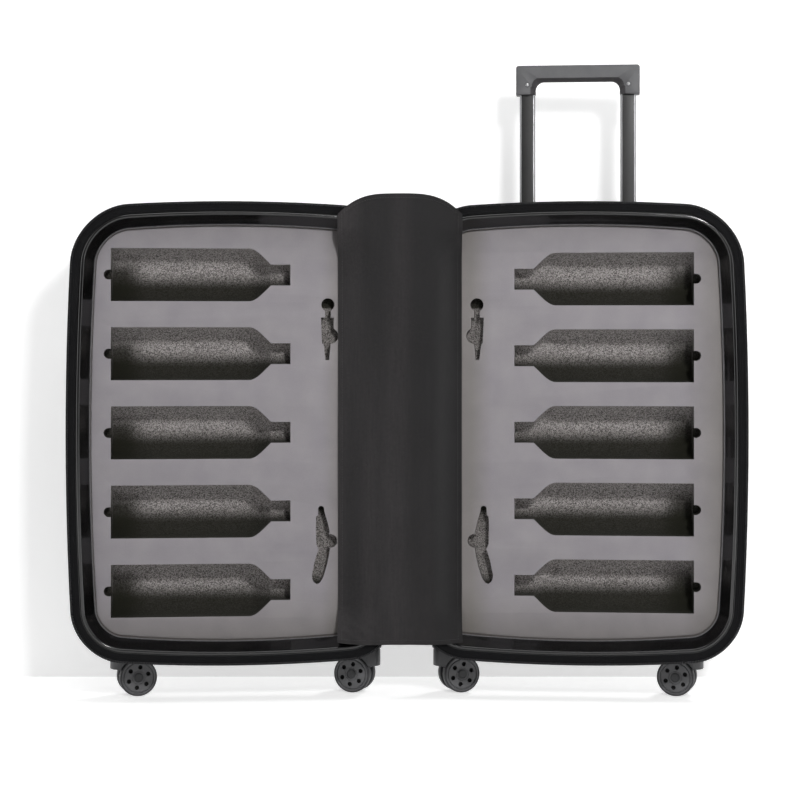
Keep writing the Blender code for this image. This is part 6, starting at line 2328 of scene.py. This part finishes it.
@dataclass
class Studio:
    """Pale floor and backdrop, soft lamps, and the camera at the photograph's angle.

    A lamp is its name, place, size and power, and whether matt surfaces get its light as well as glossy ones.
    """

    backdrop_y: float = 0.185
    camera_place: Point = (-0.0114, -3.302, 0.580)
    lens: float = 89.7
    shift: float = -0.0687
    look: float = 0.55
    lifts: Flat = (0.56, 0.53)
    lamps: tuple[tuple, ...] = (
        ("key", (0.75, -3.0, 1.75), (0.34, 0.34), 56.0, True),
        ("left_strip", (-1.9, -0.55, 0.85), (1.1, 1.9), 15.0, False),
        ("right_strip", (1.9, -0.55, 0.85), (1.1, 1.9), 15.0, False),
        ("top", (0.0, -0.8, 2.6), (1.8, 0.6), 12.0, True),
        ("back_left", (-1.6, 2.2, 1.6), (1.2, 1.2), 12.0, True),
        ("back_right", (1.5, 2.2, 1.9), (0.5, 0.5), 42.0, True),
    )

    def build(self) -> None:
        """Set up the whole scene round the object."""
        scene = bpy.context.scene
        scene.view_settings.view_transform = "Standard"
        floor = self._panel("studio_floor", (12, 12), (0, 0, 0), (0, 0, 0))
        backdrop = self._panel("studio_backdrop", (12, 8), (0, self.backdrop_y, 3.9), (math.pi / 2, 0, 0))
        floor.data.materials.append(self._paper("pale_floor", self.lifts[0], see_through=False))
        backdrop.data.materials.append(self._paper("pale_backdrop", self.lifts[1], see_through=True))
        backdrop.visible_shadow = False
        self._lamps()
        self._world()
        camera = bpy.data.cameras.new("studio_camera")
        camera.lens, camera.sensor_width, camera.shift_y = self.lens, 36, self.shift
        item = bpy.data.objects.new("studio_camera", camera)
        item.location = self.camera_place
        item.rotation_euler = (math.pi / 2, 0, 0)
        scene.collection.objects.link(item)
        scene.camera = item

    @staticmethod
    def _panel(name: str, size: Flat, place: Point, turn: Point) -> bpy.types.Object:
        """A large flat panel of the stage.

        Args:
            name: The piece's name.
            size: Its two sides.
            place: Its middle.
            turn: Its turn, in radians.

        Returns:
            The finished object.
        """
        Bench.clear()
        bpy.ops.mesh.primitive_plane_add(size=1, location=place, rotation=turn)
        item = bpy.context.active_object
        item.name = name
        item.scale = (size[0], size[1], 1)
        Bench.clear()
        return item

    @staticmethod
    def _paper(name: str, lift: float, see_through: bool) -> bpy.types.Material:
        """Pale paper that reads as white and keeps a soft shadow.

        Args:
            name: The material's name.
            lift: How much brighter it is to the camera and in reflections than its light makes it.
            see_through: Whether it can be looked through from behind.

        Returns:
            The material.
        """
        material = bpy.data.materials.new(name)
        material.use_nodes = True
        graph = Graph(material.node_tree)
        path = graph.add("LightPath")
        seen = graph.sum("MAXIMUM", path.outputs["Is Camera Ray"], path.outputs["Is Glossy Ray"])
        seen = graph.sum("MAXIMUM", seen, path.outputs["Is Transmission Ray"])
        paper = graph.add("BsdfDiffuse", {"Color": linear("e4e4e4")})
        glow = graph.add("Emission", {"Color": (1, 1, 1, 1), "Strength": graph.sum("MULTIPLY", seen, lift)})
        both = graph.add("AddShader", {0: paper.outputs[0], 1: glow.outputs[0]}).outputs[0]
        if see_through:
            clear = graph.add("BsdfTransparent")
            behind = graph.add("NewGeometry").outputs["Backfacing"]
            both = graph.add("MixShader", {0: behind, 1: both, 2: clear.outputs[0]}).outputs[0]
        graph.add("OutputMaterial", {"Surface": both})
        return material

    def _lamps(self) -> None:
        """The key lamp from the upper right, softer ones above and behind, and strips that only gloss shows."""
        target = Vector((0, 0, self.look))
        for name, place, size, power, lights_matt in self.lamps:
            lamp = bpy.data.lights.new(name, "AREA")
            lamp.shape = "RECTANGLE"
            lamp.size, lamp.size_y = size
            lamp.energy = power
            item = bpy.data.objects.new(name, lamp)
            item.location = place
            item.visible_diffuse = lights_matt
            item.rotation_euler = (target - Vector(place)).to_track_quat("-Z", "Y").to_euler()
            bpy.context.scene.collection.objects.link(item)

    @staticmethod
    def _world() -> None:
        """A pale light from all round, dim at the horizon and brighter overhead, and white to the camera."""
        world = bpy.data.worlds.new("studio_world")
        world.use_nodes = True
        graph = Graph(world.node_tree)
        path = graph.add("LightPath")
        rise = graph.add("SeparateXYZ", {"Vector": graph.add("TexCoord").outputs["Generated"]}).outputs["Z"]
        sky = graph.ramp(rise, -0.1, 0.9, (0.10, 0.46))
        strength = graph.sum("MAXIMUM", sky, path.outputs["Is Camera Ray"])
        light = graph.add("Background", {"Color": (1, 1, 1, 1), "Strength": strength})
        graph.add("OutputWorld", {"Surface": light.outputs[0]})
        bpy.context.scene.world = world


def dress_kept_nodes(wardrobe: Wardrobe) -> None:
    """Give the solids that stay in view their materials.

    Args:
        wardrobe: The finishes.
    """
    finishes = {
        "trolley_outer_tube_left": "steel",
        "trolley_outer_tube_right": "steel",
        "trolley_foot": "moulding",
        **{f"caster_mount_{half}_{place}": "moulding" for half in ("front", "rear") for place in CASTERS},
    }
    for node, finish in finishes.items():
        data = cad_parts[node].data
        data.materials.clear()
        data.materials.append(wardrobe[finish])
        log.info("%s: kept with %s", node, finish)


def main() -> None:
    """Build the suitcase piece by piece, then the studio, and report each step."""
    logging.basicConfig(level=logging.INFO, format="%(name)s: %(message)s")
    wardrobe = Wardrobe()
    halves = [Half(Side.FRONT), Half(Side.REAR)]
    front, rear = halves
    for half in halves:
        Shell(half).build(wardrobe)
        Mouth(half).build(wardrobe)
        Insert(half).build(wardrobe)
        for place, (across, yaw) in CASTERS.items():
            Caster(half, place, across, yaw).build(wardrobe)
    Spine(rear).build(wardrobe)
    Trolley(rear).build(wardrobe)
    top = rear.spot(rear.centre, TOP_HANDLE_DEEP, rear.top_up + MM)
    CarryHandle(rear, "top", top, Euler((0, 0, 0))).build(wardrobe)
    side = rear.spot(rear.outer + MM, SIDE_HANDLE_DEEP, rear.middle_up)
    CarryHandle(rear, "side", side, Euler((0, math.pi / 2, 0))).build(wardrobe)
    Lock(front).build(wardrobe)
    ZipPulls(rear).build(wardrobe)
    Pad(front, "front_base_pad", "front_bottom_pad", 0.052).build(wardrobe)
    Pad(rear, "rear_base_grip", "rear_bottom_grip", 0.073, 0.012).build(wardrobe)
    dress_kept_nodes(wardrobe)
    Studio().build()
    Bench.clear()


if __name__ == "__main__":
    main()
